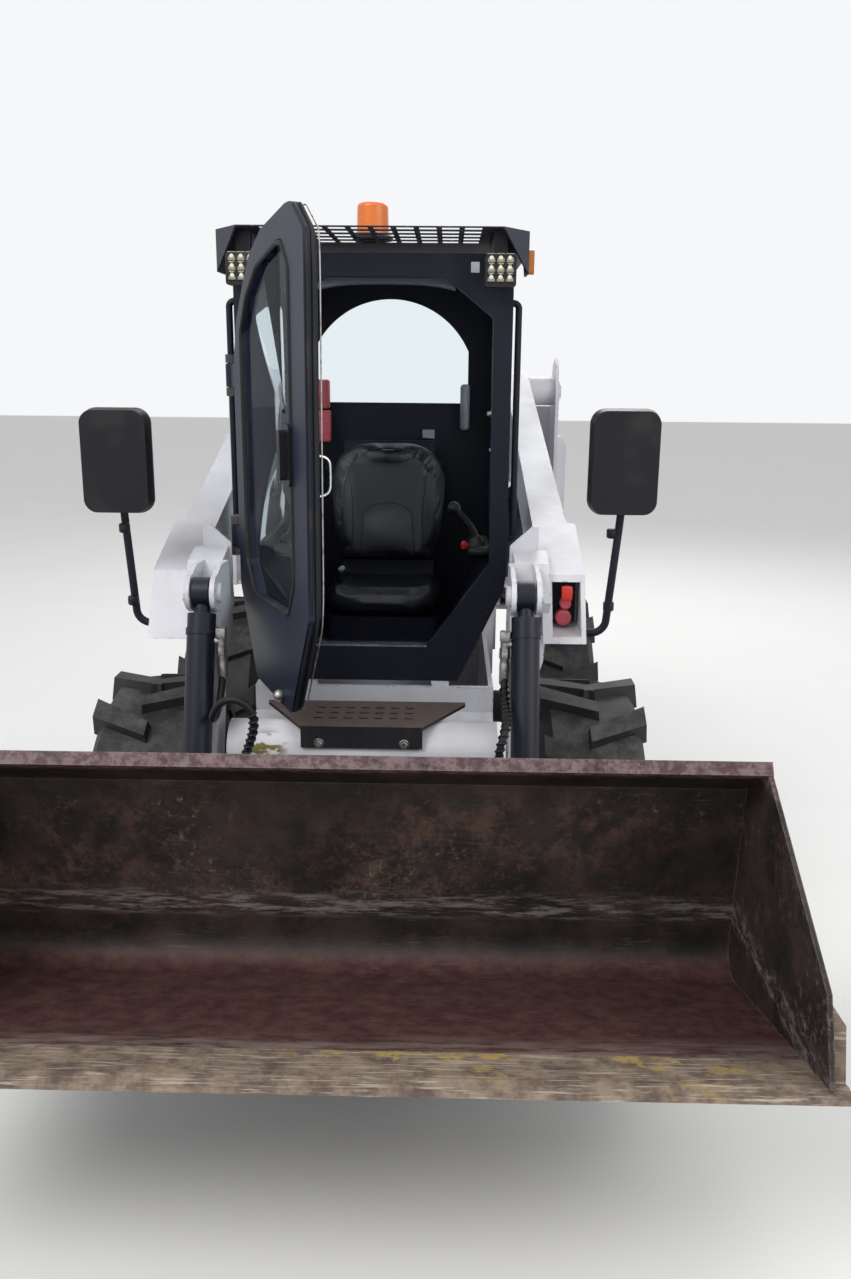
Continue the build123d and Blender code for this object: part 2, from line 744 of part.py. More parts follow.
# Cylinders: each is a barrel on its base pin and a rod with its eye
def ram(base, eye, x, barrel_radius, barrel_length, rod_radius, rod_length, pin, width):
    """Barrel and rod between a base pin and an eye, in side-view places at x."""
    reach = hypot(eye[0] - base[0], eye[1] - base[1])
    run = ((eye[0] - base[0]) / reach, (eye[1] - base[1]) / reach)
    line = Plane(
        origin=(x, ZERO_Y + base[0], base[1]),
        x_dir=(1, 0, 0),
        z_dir=(0, run[0], run[1]),
    )
    with BuildPart() as barrel:
        with BuildSketch(side(x - width / 2)):
            with Locations(base):
                Circle(pin + 22)
        extrude(amount=width)
        with BuildSketch(line.offset(pin + 10)):
            Circle(width / 2)
        extrude(amount=40)
        with BuildSketch(line.offset(pin + 38)):
            Circle(barrel_radius)
        extrude(amount=barrel_length - pin - 38)
        for offset in (pin + 74, barrel_length - 34):
            with BuildSketch(line.offset(offset)):
                Circle(barrel_radius + 3)
            extrude(amount=16)
        with BuildSketch(side(x - width / 2)):
            with Locations(base):
                Circle(pin + RUNNING)
        extrude(amount=width, mode=Mode.SUBTRACT)
        with BuildSketch(line.offset(100)):
            Circle(rod_radius + RUNNING)
        extrude(amount=barrel_length, mode=Mode.SUBTRACT)
    with BuildPart() as rod:
        with BuildSketch(line.offset(reach - rod_length)):
            Circle(rod_radius)
        extrude(amount=rod_length)
        with BuildSketch(side(x - width / 2)):
            with Locations(eye):
                Circle(pin + 13)
        extrude(amount=width)
    return barrel.part, rod.part


LIFT_SIZES = (LIFT_BARREL, LIFT_BARREL_LENGTH, LIFT_ROD, LIFT_ROD_LENGTH, LIFT_PIN, LIFT_EYE_WIDTH)
for name, flip in SIDES:
    lift_barrel, lift_rod = ram(LIFT_BASE, LIFT_EYE, flip * LIFT_X, *LIFT_SIZES)
    save(lift_barrel, f"lift_barrel_{name}")
    save(lift_rod, f"lift_rod_{name}")

TILT_LEAN = radians(BACK_LEAN - REST_CURL + TILT_EYE_LEAN)
TILT_EYE = (
    COUPLER_PIVOT[0] - TILT_EYE_REACH * sin(TILT_LEAN),
    COUPLER_PIVOT[1] + TILT_EYE_REACH * cos(TILT_LEAN),
)
TILT_SIZES = (TILT_BARREL, TILT_BARREL_LENGTH, TILT_ROD, TILT_ROD_LENGTH, TILT_PIN, TILT_EYE_WIDTH)
for name, flip in SIDES:
    tilt_barrel, tilt_rod = ram(TILT_BASE, TILT_EYE, flip * TILT_X, *TILT_SIZES)
    save(tilt_barrel, f"tilt_barrel_{name}")
    save(tilt_rod, f"tilt_rod_{name}")

# Hoses from the tilt cylinders down to the torque tube, and the steel fittings they leave by
HOSE_RADIUS = 9
FITTING_X = 350
FITTING_OFFSET = 120
FITTING_TOP = 14
HOSE_TOP = 985
BASE_RUN = hypot(TILT_EYE[0] - TILT_BASE[0], TILT_EYE[1] - TILT_BASE[1])
FITTING = (
    TILT_BASE[0] + FITTING_OFFSET * (TILT_EYE[0] - TILT_BASE[0]) / BASE_RUN,
    TILT_BASE[1] + FITTING_OFFSET * (TILT_EYE[1] - TILT_BASE[1]) / BASE_RUN,
)
with BuildPart() as hose_fittings:
    for flip in (1, -1):
        with BuildSketch(side(flip * (TILT_X - TILT_BARREL - SEAT_GAP))):
            with Locations(FITTING):
                Circle(10)
        extrude(amount=flip * (FITTING_X - TILT_X + TILT_BARREL + SEAT_GAP))
        with BuildSketch(plan(HOSE_TOP + SEAT_GAP)):
            with Locations((flip * FITTING_X, FITTING[0])):
                Circle(11)
        extrude(amount=FITTING[1] + FITTING_TOP - HOSE_TOP - SEAT_GAP)
        with BuildSketch(plan(FITTING[1] - 30)):
            with Locations((flip * FITTING_X, FITTING[0])):
                RegularPolygon(13, 6)
        extrude(amount=20)
save(hose_fittings.part, "hose_fittings")

TORQUE_TOP = TORQUE_TUBE[1] + 42 + SEAT_GAP
HOSES = {
    "left": [
        (FITTING_X, FITTING[0], HOSE_TOP),
        (FITTING_X, FITTING[0], 938),
        (352, -385, 898),
        (353, -440, 884),
        (350, -490, 870),
        (337, -512, 836),
        (331, -509, 788),
        (337, -494, 734),
        (344, -472, 676),
        (350, -444, 620),
        (351, -420, 574),
        (350, TORQUE_TUBE[0], 543),
        (350, TORQUE_TUBE[0], TORQUE_TOP),
    ],
    "right": [
        (-FITTING_X, FITTING[0], HOSE_TOP),
        (-FITTING_X, FITTING[0], 938),
        (-353, -376, 888),
        (-352, -432, 868),
        (-351, -480, 878),
        (-340, -504, 908),
        (-316, -514, 938),
        (-278, -520, 943),
        (-248, -520, 919),
        (-243, -514, 878),
        (-256, -505, 832),
        (-277, -496, 780),
        (-300, -484, 724),
        (-324, -466, 668),
        (-342, -440, 616),
        (-350, -416, 572),
        (-350, TORQUE_TUBE[0], 543),
        (-350, TORQUE_TUBE[0], TORQUE_TOP),
    ],
}
for name, route_points in HOSES.items():
    points = [Vector(x, ZERO_Y + y, z) for x, y, z in route_points]
    runs = [b - a for a, b in zip(points, points[1:])]
    radii = [
        0.45 * min(a.length, b.length) / tan(radians(a.get_angle(b)) / 2)
        for a, b in zip(runs, runs[1:])
    ]
    print(f"hose_{name} radii", [round(r) for r in radii])
    with BuildPart() as hose:
        with BuildLine() as route:
            FilletPolyline(*points, radius=radii)
        with BuildSketch(Plane(route.wire() @ 0, z_dir=route.wire() % 0)):
            Circle(HOSE_RADIUS)
        sweep()
    print(f"hose_{name} length", round(route.wire().length), "volume", round(hose.part.volume))
    save(hose.part, f"hose_{name}")

# Quick coupler: a plate behind the bucket with an ear each side of each arm
EAR_INNER = ARM_INNER - EAR_PLAY - EAR
EAR_OUTER = ARM_OUTER + EAR_PLAY
COUPLER_HALF = EAR_OUTER + EAR
TILT_EYE_PLATE = (
    -TILT_EYE_REACH * sin(radians(TILT_EYE_LEAN)),
    TILT_EYE_REACH * cos(radians(TILT_EYE_LEAN)),
)
EAR_PROFILE = [
    (-COUPLER_SETBACK - 4, COUPLER_BOTTOM),
    (0, -COUPLER_BOSS),
    (COUPLER_BOSS, 0),
    (TILT_EYE_PLATE[0] + 30, TILT_EYE_PLATE[1]),
    (TILT_EYE_PLATE[0], TILT_EYE_PLATE[1] + 32),
    (-COUPLER_SETBACK - 4, TILT_EYE_PLATE[1] + 40),
]
with BuildPart() as coupler:
    with BuildSketch(plate()):
        Polygon(
            (-COUPLER_SETBACK - COUPLER_PLATE, COUPLER_BOTTOM),
            (-COUPLER_SETBACK - COUPLER_PLATE, COUPLER_TOP),
            (-COUPLER_SETBACK, COUPLER_TOP - 12),
            (-COUPLER_SETBACK, COUPLER_BOTTOM),
            align=None,
        )
    extrude(amount=COUPLER_HALF, both=True)
    for x in (EAR_INNER, EAR_OUTER, -EAR_INNER - EAR, -EAR_OUTER - EAR):
        with BuildSketch(plate(x)):
            Polygon(*EAR_PROFILE, align=None)
            Circle(COUPLER_BOSS)
            with Locations(TILT_EYE_PLATE):
                Circle(30)
        extrude(amount=EAR)
    # Open notches in front of the rods, then the pins and their heads
    for x in (EAR_INNER + EAR, -EAR_OUTER):
        with BuildSketch(plate(x)):
            with Locations((-COUPLER_SETBACK, 175)):
                Rectangle(60, 210)
        extrude(amount=EAR_OUTER - EAR_INNER - EAR, mode=Mode.SUBTRACT)
    for x in (EAR_INNER - 6, -EAR_OUTER - EAR - 6):
        with BuildSketch(plate(x)):
            Circle(COUPLER_PIN)
        extrude(amount=EAR_OUTER + EAR - EAR_INNER + 12)
    for x in (EAR_INNER - 7, EAR_OUTER + EAR - 1, -EAR_INNER - 1, -EAR_OUTER - EAR - 7):
        with BuildSketch(plate(x)):
            with Locations(TILT_EYE_PLATE):
                Circle(TILT_PIN + 5)
        extrude(amount=8)
save(coupler.part, "quick_coupler")


# Bucket: a bent skin with side cheeks, open in front
HOLLOW = [(-560, LIP[1] + 57), TOP_BEND, HEEL, (-960, FLOOR_Y)]
MOUTH = [
    (LIP[0] + 4, LIP[1] + 120),
    LIP,
    CHEEK,
    (TOE[0], TOE[1] + SEAT_GAP),
    (EDGE_BACK + SEAT_GAP, TOE[1] + SEAT_GAP),
    (EDGE_BACK + SEAT_GAP, TOE[1] - 100),
    (-1100, TOE[1] - 100),
    (-1100, LIP[1] + 120),
]
with BuildPart() as bucket:
    with BuildSketch(tool()) as shell:
        Polygon(*HOLLOW, align=None)
        fillet(shell.vertices().sort_by_distance((*HEEL, 0))[0], HEEL_RADIUS)
        offset(amount=BUCKET_SKIN, kind=Kind.INTERSECTION)
        Polygon(*MOUTH, align=None, mode=Mode.SUBTRACT)
    extrude(amount=BUCKET_HALF, both=True)
    with BuildSketch(tool()) as hollow:
        Polygon(*HOLLOW, align=None)
        fillet(hollow.vertices().sort_by_distance((*HEEL, 0))[0], HEEL_RADIUS)
    extrude(amount=BUCKET_HALF - BUCKET_SIDE, both=True, mode=Mode.SUBTRACT)
    # Lip bar along the top, and the mounting plate on the back
    with BuildSketch(tool()):
        with Locations(Location((LIP[0] + 2, LIP[1] + 4, 0), (0, 0, -20))):
            Rectangle(18, 30)
    extrude(amount=BUCKET_HALF, both=True)
    with BuildSketch(plate()):
        Polygon(
            (-COUPLER_SETBACK - COUPLER_PLATE - SEAT_GAP, COUPLER_BOTTOM + 30),
            (-COUPLER_SETBACK - COUPLER_PLATE - SEAT_GAP, COUPLER_TOP - 10),
            (-90, COUPLER_TOP + 10),
            (-90, COUPLER_BOTTOM + 20),
            align=None,
        )
    extrude(amount=EAR_INNER, both=True)
    # Hook bar over the coupler's top edge
    with BuildSketch(plate()):
        Polygon(
            (-90, COUPLER_TOP + 4),
            (-90, COUPLER_TOP + 44),
            (-44, COUPLER_TOP - 6 + 2),
            (-56, COUPLER_TOP - 8),
            (-64, COUPLER_TOP + 4),
            align=None,
        )
    extrude(amount=EAR_INNER, both=True)
save(bucket.part, "bucket")

WING = [
    (BUCKET_HALF + SEAT_GAP, FLOOR_Y),
    (EDGE_HALF, FLOOR_Y),
    (EDGE_HALF, 40),
    (BUCKET_HALF + SEAT_GAP, 84),
]
with BuildPart() as cutting_edge:
    with BuildSketch(tool()):
        Polygon(
            (EDGE_TIP, FLOOR_Y - EDGE_THICK),
            (EDGE_TIP + 4, FLOOR_Y - EDGE_THICK + 8),
            (EDGE_TIP + 34, FLOOR_Y),
            (EDGE_BACK, FLOOR_Y),
            (EDGE_BACK, FLOOR_Y - EDGE_THICK),
            align=None,
        )
    extrude(amount=EDGE_HALF, both=True)
    for flip in (1, -1):
        wing_plane = Plane(
            origin=tool().from_local_coords((TOE[0] + 34, 0, 0)),
            x_dir=(1, 0, 0),
            z_dir=tool().x_dir,
        )
        with BuildSketch(wing_plane):
            Polygon(*[(flip * x, -z) for x, z in WING], align=None)
        extrude(amount=12)
save(cutting_edge.part, "cutting_edge")

# Cab frame: a hollow box with its corners cut, a door opening, side windows and an arched rear window
CAB_OUTLINE = [(330, ROOF_Z), (CAB_HALF, 1935), (CAB_HALF, 1130), (366, 1086), (240, CAB_BOTTOM)]
OPENING = [(190, 1926), (320, 1823), (323, 1158), (154, 923)]
SIDE_WINDOW = (545, 1520, 700, 700)
with BuildPart() as cab_frame:
    with BuildSketch(front(CAB_FRONT)):
        Polygon(*CAB_OUTLINE, *[(-x, z) for x, z in reversed(CAB_OUTLINE)], align=None)
    extrude(amount=CAB_FRONT - CAB_REAR)
    with BuildSketch(front(CAB_FRONT + CAB_FRONT_WALL)):
        Polygon(*CAB_OUTLINE, *[(-x, z) for x, z in reversed(CAB_OUTLINE)], align=None)
        offset(amount=-CAB_WALL, kind=Kind.INTERSECTION)
    extrude(amount=CAB_FRONT + CAB_FRONT_WALL - CAB_REAR + CAB_WALL, mode=Mode.SUBTRACT)
    with BuildSketch(front(CAB_FRONT)) as doorway:
        Polygon(*OPENING, *[(-x, z) for x, z in reversed(OPENING)], align=None)
        fillet(doorway.vertices(), 25)
    extrude(amount=-CAB_FRONT_WALL, mode=Mode.SUBTRACT)
    with BuildSketch(side()):
        with Locations(SIDE_WINDOW[:2]):
            RectangleRounded(SIDE_WINDOW[2], SIDE_WINDOW[3], 60)
    extrude(amount=CAB_HALF + 1, both=True, mode=Mode.SUBTRACT)
    with BuildSketch(front(CAB_REAR)) as rear_hole:
        with BuildLine():
            ThreePointArc((-272, 1743), (0, 1918), (272, 1743))
            Polyline((272, 1743), (272, 1566), (-272, 1566), (-272, 1743))
        make_face()
        fillet(rear_hole.vertices().group_by(Axis.Y)[0], 25)
    extrude(amount=CAB_WALL, mode=Mode.SUBTRACT)
    with BuildSketch(plan(CAB_BOTTOM)):
        with Locations((0, 265)):
            Rectangle(400, 290)
    extrude(amount=CAB_WALL, mode=Mode.SUBTRACT)
    for x in (-CAB_HALF, CAB_HALF - CAB_WALL):
        with BuildSketch(side(x)):
            with Locations(CAB_PIVOT):
                Circle(CAB_PIN + RUNNING)
        extrude(amount=CAB_WALL, mode=Mode.SUBTRACT)
save(cab_frame.part, "cab_frame")

# Glass, each pane set in its opening
with BuildPart() as rear_window:
    with BuildSketch(front(CAB_REAR - 4)) as pane:
        with BuildLine():
            ThreePointArc((-272, 1743), (0, 1918), (272, 1743))
            Polyline((272, 1743), (272, 1566), (-272, 1566), (-272, 1743))
        make_face()
        fillet(pane.vertices().group_by(Axis.Y)[0], 25)
        offset(amount=-SEAT_GAP)
    extrude(amount=GLASS)
save(rear_window.part, "rear_window")
with BuildPart() as side_windows:
    for x in (CAB_HALF - 4 - GLASS, -CAB_HALF + 4):
        with BuildSketch(side(x)):
            with Locations(SIDE_WINDOW[:2]):
                RectangleRounded(SIDE_WINDOW[2] - 2 * SEAT_GAP, SIDE_WINDOW[3] - 2 * SEAT_GAP, 60 - SEAT_GAP)
        extrude(amount=GLASS)
save(side_windows.part, "side_windows")

# Slotted sun visor over the cab's front, on two rails, with folded corners
VISOR_FRONT = ((337, -50), (VISOR_HALF, 55))
VISOR_CHEEK = [
    (55, VISOR_Z - 1),
    (55, VISOR_Z - 105),
    (150, VISOR_Z - 105),
    (220, ROOF_Z),
    (VISOR_REAR, ROOF_Z),
    (VISOR_REAR, VISOR_Z - 1),
]
with BuildPart() as visor:
    with BuildSketch(plan(VISOR_Z - VISOR_PLATE)):
        Polygon(
            *VISOR_FRONT,
            (VISOR_HALF, VISOR_REAR),
            (-VISOR_HALF, VISOR_REAR),
            (-VISOR_FRONT[1][0], VISOR_FRONT[1][1]),
            (-VISOR_FRONT[0][0], VISOR_FRONT[0][1]),
            align=None,
        )
        with Locations((0, 160)):
            with GridLocations(58, 82, 10, 5):
                Rectangle(44, 56, mode=Mode.SUBTRACT)
    extrude(amount=VISOR_PLATE)
    for x in (VISOR_HALF - 6, -VISOR_HALF):
        with BuildSketch(side(x)):
            Polygon(*VISOR_CHEEK, align=None)
        extrude(amount=6)
    for x in (318, -VISOR_HALF + 2):
        with BuildSketch(side(x)):
            with Locations((sum(VISOR_FEET) / 2, (ROOF_Z + SEAT_GAP + VISOR_Z - 1) / 2)):
                Rectangle(VISOR_FEET[1] - VISOR_FEET[0], VISOR_Z - 1 - ROOF_Z - SEAT_GAP)
        extrude(amount=VISOR_HALF - 2 - 318)
    for flip in (1, -1):
        (x0, y0), (x1, y1) = VISOR_FRONT
        corner = Plane(
            origin=(flip * x0, ZERO_Y + y0, VISOR_Z),
            x_dir=(flip * (x1 - x0), y1 - y0, 0),
            z_dir=(flip * (y1 - y0), x0 - x1, 0),
        )
        run = hypot(x1 - x0, y1 - y0)
        drop = -1 if corner.y_dir.Z > 0 else 1
        with BuildSketch(corner):
            Polygon((0, drop), (run, drop), (run, drop * 105), align=None)
        extrude(amount=-5)
save(visor.part, "visor")

# Lamps: two square work lamps with nine lenses, a beacon and a side marker
LAMP_X = 332
LAMP_Z = 1936
LAMP_SIZE = 80
LAMP_DEPTH = 44
with BuildPart() as work_lamps:
    for x in (-LAMP_X, LAMP_X):
        with BuildSketch(front(28)):
            with Locations((x, LAMP_Z)):
                RectangleRounded(LAMP_SIZE, LAMP_SIZE, 8)
        extrude(amount=LAMP_DEPTH)
        with BuildSketch(front(28 - LAMP_DEPTH)):
            with Locations((x, LAMP_Z)):
                with GridLocations(24, 24, 3, 3):
                    Circle(10)
        extrude(amount=-5, mode=Mode.SUBTRACT)
        with BuildSketch(plan(LAMP_Z)):
            with Locations((x, 22)):
                Rectangle(36, 6)
        extrude(amount=VISOR_Z - VISOR_PLATE - SEAT_GAP - LAMP_Z)
save(work_lamps.part, "work_lamps")

BEACON = (-15, 300)
with BuildPart() as beacon:
    with BuildSketch(plan(VISOR_Z)):
        with Locations(BEACON):
            Circle(50)
    extrude(amount=14)
    with BuildSketch(plan(VISOR_Z + 14)):
        with Locations(BEACON):
            Circle(45)
    extrude(amount=84, taper=1.5)
    fillet(beacon.edges().group_by(Axis.Z)[-1], 12)
save(beacon.part, "beacon")

with BuildPart() as marker_lamp:
    with BuildSketch(side(VISOR_HALF + SEAT_GAP)):
        with Locations((104, 1966)):
            RectangleRounded(34, 62, 12)
    extrude(amount=16)
save(marker_lamp.part, "marker_lamp")

# Grab rails outside the front posts
RAIL_OUT = 16
with BuildPart() as cab_rails:
    for flip in (1, -1):
        with BuildLine() as route:
            FilletPolyline(
                (flip * (CAB_HALF + SEAT_GAP), ZERO_Y + 100, 1862),
                (flip * (CAB_HALF + RAIL_OUT), ZERO_Y + 100, 1862),
                (flip * (CAB_HALF + RAIL_OUT), ZERO_Y + 100, 1230),
                (flip * (CAB_HALF + SEAT_GAP), ZERO_Y + 100, 1230),
                radius=14,
            )
        with BuildSketch(Plane(route.wire() @ 0, z_dir=route.wire() % 0)):
            Circle(9)
        sweep()
save(cab_rails.part, "cab_rails")

# Seat on its base, with plain cushions, and the two control levers
SEAT_FRAME = [
    (SEAT_REAR - 30, DECK_Z),
    (SEAT_REAR + 70, 1440),
    (SEAT_REAR + 90, 1440),
    (SEAT_REAR + 90, DECK_Z),
]
BACKREST = [
    (SEAT_REAR - 98, SEAT_TOP + SEAT_GAP),
    (SEAT_REAR - 26, 1442),
    (SEAT_REAR + 20, 1470),
    (SEAT_REAR + 66, 1442),
    (SEAT_REAR - 2, SEAT_TOP + SEAT_GAP),
]
with BuildPart() as seat_base:
    with BuildSketch(plan(DECK_Z)):
        with Locations((0, (SEAT_FRONT + SEAT_REAR) / 2 + 30)):
            RectangleRounded(2 * SEAT_HALF - 60, SEAT_REAR - SEAT_FRONT - 60, 30)
    extrude(amount=SEAT_TOP - CUSHION_THICK - DECK_Z - SEAT_GAP)
    with BuildSketch(side()):
        Polygon(*SEAT_FRAME, align=None)
    extrude(amount=SEAT_HALF - 60, both=True)
save(seat_base.part, "seat_base")
with BuildPart() as seat_cushion:
    with BuildSketch(plan(SEAT_TOP - CUSHION_THICK)):
        with Locations((0, (SEAT_FRONT + SEAT_REAR - 40) / 2)):
            RectangleRounded(2 * SEAT_HALF, SEAT_REAR - 40 - SEAT_FRONT, 60)
    extrude(amount=CUSHION_THICK)
    fillet(seat_cushion.edges().group_by(Axis.Z)[-1], 30)
save(seat_cushion.part, "seat_cushion")
with BuildPart() as seat_back:
    with BuildSketch(side()):
        Polygon(*BACKREST, align=None)
    extrude(amount=SEAT_HALF - 2, both=True)
    fillet(seat_back.edges().filter_by(Axis.X, reverse=True), 18)
save(seat_back.part, "seat_back")

PODS = (238, CAB_HALF - CAB_WALL - 2.4)
with BuildPart() as levers:
    for flip in (1, -1):
        x = flip * sum(PODS) / 2
        with BuildSketch(plan(1150)):
            with Locations((x, 560)):
                Rectangle(PODS[1] - PODS[0], 250)
        extrude(amount=-34)
        with BuildSketch(plan(1148)):
            with Locations((x, 500)):
                Circle(9)
        extrude(amount=70)
        with BuildSketch(plan(1206)):
            with Locations((x, 500)):
                Circle(19)
        extrude(amount=90, taper=2)
save(levers.part, "control_levers")

# Door: a cut-cornered frame round a tall pane, hung on the right-hand post
DOOR_OUTLINE = [
    (55, 1120),
    (55, 1700),
    (100, 1806),
    (180, 1888),
    (264, 1955),
    (378, 2000),
    (590, DOOR_TOP),
    (628, DOOR_TOP),
    (722, 1966),
    (710, 1152),
    (548, DOOR_LOW),
    (212, DOOR_LOW),
]
DOOR_LIGHT = [
    (140, 1190),
    (140, 1780),
    (212, 1866),
    (330, 1932),
    (505, 1964),
    (556, 1964),
    (612, 1904),
    (606, 1206),
    (548, 1126),
    (214, 1110),
]
LOCK_PLATE = [(520, 1420), (520, 1592), (620, 1640), (620, 1372)]
KNUCKLES = (1210, 1640)
with BuildPart() as door_frame:
    with BuildSketch(door_plane(DOOR_FACE)) as leaf:
        Polygon(*DOOR_OUTLINE, align=None)
        fillet(leaf.vertices(), 14)
    extrude(amount=-(DOOR_FACE + DOOR_BACK))
    with BuildSketch(door_plane(DOOR_FACE)) as light:
        Polygon(*DOOR_LIGHT, align=None)
        fillet(light.vertices(), 26)
        Polygon(*LOCK_PLATE, align=None, mode=Mode.SUBTRACT)
    extrude(amount=-(DOOR_FACE + DOOR_BACK), mode=Mode.SUBTRACT)
    # Stepped seal lips round the inner face
    for depth, inset in ((8, 18), (20, 8)):
        with BuildSketch(door_plane(-DOOR_BACK)):
            Polygon(*DOOR_OUTLINE, align=None)
            offset(amount=4, kind=Kind.INTERSECTION)
            with BuildSketch(mode=Mode.PRIVATE) as kept:
                Polygon(*DOOR_OUTLINE, align=None)
                offset(amount=-inset, kind=Kind.INTERSECTION)
            add(kept.sketch_local, mode=Mode.SUBTRACT)
        extrude(amount=depth, mode=Mode.SUBTRACT)
    # Hinge straps and knuckles on the leaf
    for z in KNUCKLES:
        with BuildSketch(Plane.XY.offset(z)):
            with Locations((HINGE_X, ZERO_Y + HINGE_Y)):
                Circle(11)
        extrude(amount=60)
        with BuildSketch(door_plane(DOOR_FACE)):
            with Locations((35, z + 30)):
                Rectangle(70, 60)
        extrude(amount=-8)
        with BuildSketch(Plane.XY.offset(z)):
            with Locations((HINGE_X, ZERO_Y + HINGE_Y)):
                Circle(6 + RUNNING)
        extrude(amount=60, mode=Mode.SUBTRACT)
save(door_frame.part, "door_frame")

with BuildPart() as door_glass:
    with BuildSketch(door_plane(-8)) as pane:
        Polygon(*DOOR_LIGHT, align=None)
        fillet(pane.vertices(), 26)
        Polygon(*LOCK_PLATE, align=None, mode=Mode.SUBTRACT)
        offset(amount=-SEAT_GAP)
    extrude(amount=-GLASS)
save(door_glass.part, "door_glass")

with BuildPart() as door_handle:
    with BuildSketch(door_plane(DOOR_FACE + SEAT_GAP)):
        with Locations((578, 1506)):
            RectangleRounded(64, 138, 12)
    extrude(amount=8)
    with BuildSketch(door_plane(DOOR_FACE + 8)):
        with Locations((578, 1506)):
            RectangleRounded(26, 110, 8)
    extrude(amount=16)
save(door_handle.part, "door_handle")

# Hinge pins and their plates on the cab's right-hand post
with BuildPart() as door_hinges:
    for z in KNUCKLES:
        with BuildSketch(Plane.XY.offset(z - 24)):
            with Locations((HINGE_X, ZERO_Y + HINGE_Y)):
                Circle(6)
        extrude(amount=108)
        for low in (z - 24, z + 62):
            with BuildSketch(Plane.XY.offset(low)):
                with Locations((HINGE_X, ZERO_Y + HINGE_Y)):
                    Circle(11)
                Polygon(
                    (HINGE_X - 11, ZERO_Y + HINGE_Y),
                    (HINGE_X + 11, ZERO_Y + HINGE_Y),
                    (HINGE_X + 24, ZERO_Y + CAB_FRONT - SEAT_GAP),
                    (HINGE_X - 4, ZERO_Y + CAB_FRONT - SEAT_GAP),
                    align=None,
                )
            extrude(amount=22)
save(door_hinges.part, "door_hinges")

# Mirrors on bent stalks from the knee boxes
STALK_RADIUS = 10
STALK_BEND = 36
HEAD_RIM = 14
STALKS = (
    (1, ((KNEE_OUTER + SEAT_GAP, -180, 1030), (616, -180, 1030), (640, -180, 1300), (655, -180, 1500))),
    (-1, ((KNEE_OUTER + SEAT_GAP, -170, 1040), (604, -170, 1040), (622, -170, 1300), (632, -170, 1470))),
)
with BuildPart() as mirror_stalks:
    for flip, points in STALKS:
        with BuildLine() as route:
            FilletPolyline(
                *[(flip * x, ZERO_Y + y, z) for x, y, z in points],
                radius=STALK_BEND,
            )
        with BuildSketch(Plane(route.wire() @ 0, z_dir=route.wire() % 0)):
            Circle(STALK_RADIUS)
        sweep()
save(mirror_stalks.part, "mirror_stalks")

HEADS = (
    (1, 640, -180 - STALK_RADIUS - SEAT_GAP - HEAD_RIM, 1472),
    (-1, 625, -170 - STALK_RADIUS - SEAT_GAP - HEAD_RIM, 1462),
)
with BuildPart() as mirror_heads:
    for flip, x, y, z in HEADS:
        with BuildSketch(front(y)):
            with Locations((flip * x, z)):
                RectangleRounded(172, 262, 38)
        extrude(amount=34, taper=8)
        with BuildSketch(front(y)):
            with Locations((flip * x, z)):
                RectangleRounded(172, 262, 38)
        extrude(amount=-HEAD_RIM)
save(mirror_heads.part, "mirror_heads")
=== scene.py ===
"""The loader's looks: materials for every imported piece, and the trim, hoses and cushions round them.

Metres, in the part's own frame: +Z is up, the machine faces -Y and its left side is +X.
"""
import json
from math import cos, pi, radians, sin

import bmesh
import bpy
from mathutils import Matrix, Vector
from mathutils.bvhtree import BVHTree


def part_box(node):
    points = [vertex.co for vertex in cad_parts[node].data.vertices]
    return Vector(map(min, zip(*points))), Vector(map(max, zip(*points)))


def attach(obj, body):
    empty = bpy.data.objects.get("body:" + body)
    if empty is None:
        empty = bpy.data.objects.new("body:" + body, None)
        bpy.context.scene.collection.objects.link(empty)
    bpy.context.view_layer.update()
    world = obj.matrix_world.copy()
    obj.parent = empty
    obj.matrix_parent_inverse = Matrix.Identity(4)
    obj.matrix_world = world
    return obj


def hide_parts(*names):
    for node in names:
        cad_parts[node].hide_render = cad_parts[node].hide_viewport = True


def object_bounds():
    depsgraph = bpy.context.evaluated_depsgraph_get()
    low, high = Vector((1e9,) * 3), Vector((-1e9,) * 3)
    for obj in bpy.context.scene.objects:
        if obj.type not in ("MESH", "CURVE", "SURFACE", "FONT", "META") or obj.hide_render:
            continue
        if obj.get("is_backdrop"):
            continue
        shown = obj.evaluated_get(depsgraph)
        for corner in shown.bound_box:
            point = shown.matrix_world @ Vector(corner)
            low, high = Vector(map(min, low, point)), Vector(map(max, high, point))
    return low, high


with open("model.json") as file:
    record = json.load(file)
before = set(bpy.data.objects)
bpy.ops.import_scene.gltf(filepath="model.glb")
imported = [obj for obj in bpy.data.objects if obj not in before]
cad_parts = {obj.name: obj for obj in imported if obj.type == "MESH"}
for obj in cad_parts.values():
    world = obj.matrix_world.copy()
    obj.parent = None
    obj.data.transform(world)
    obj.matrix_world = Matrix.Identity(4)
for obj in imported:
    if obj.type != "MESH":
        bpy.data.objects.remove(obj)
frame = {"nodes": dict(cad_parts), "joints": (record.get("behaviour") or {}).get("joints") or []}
cad_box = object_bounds()
nodes = frame["nodes"]
joints = {j["name"]: j for j in frame["joints"]}

# The part's zero line along Y, found from the lift arms' pivot behind it
PIVOT_BEHIND = 1.25
ZERO_Y = joints["lift"]["pos_m"][1] - PIVOT_BEHIND

# Camera: fitted to the photograph
IMAGE_TALL_PX = 1279
FOCAL_PX = 1082.3
CAMERA_AT = (0.2017, ZERO_Y - 2.9216, 1.7126)
PITCH = radians(14.456)
YAW = radians(1.0473)
ROLL = radians(0.5105)


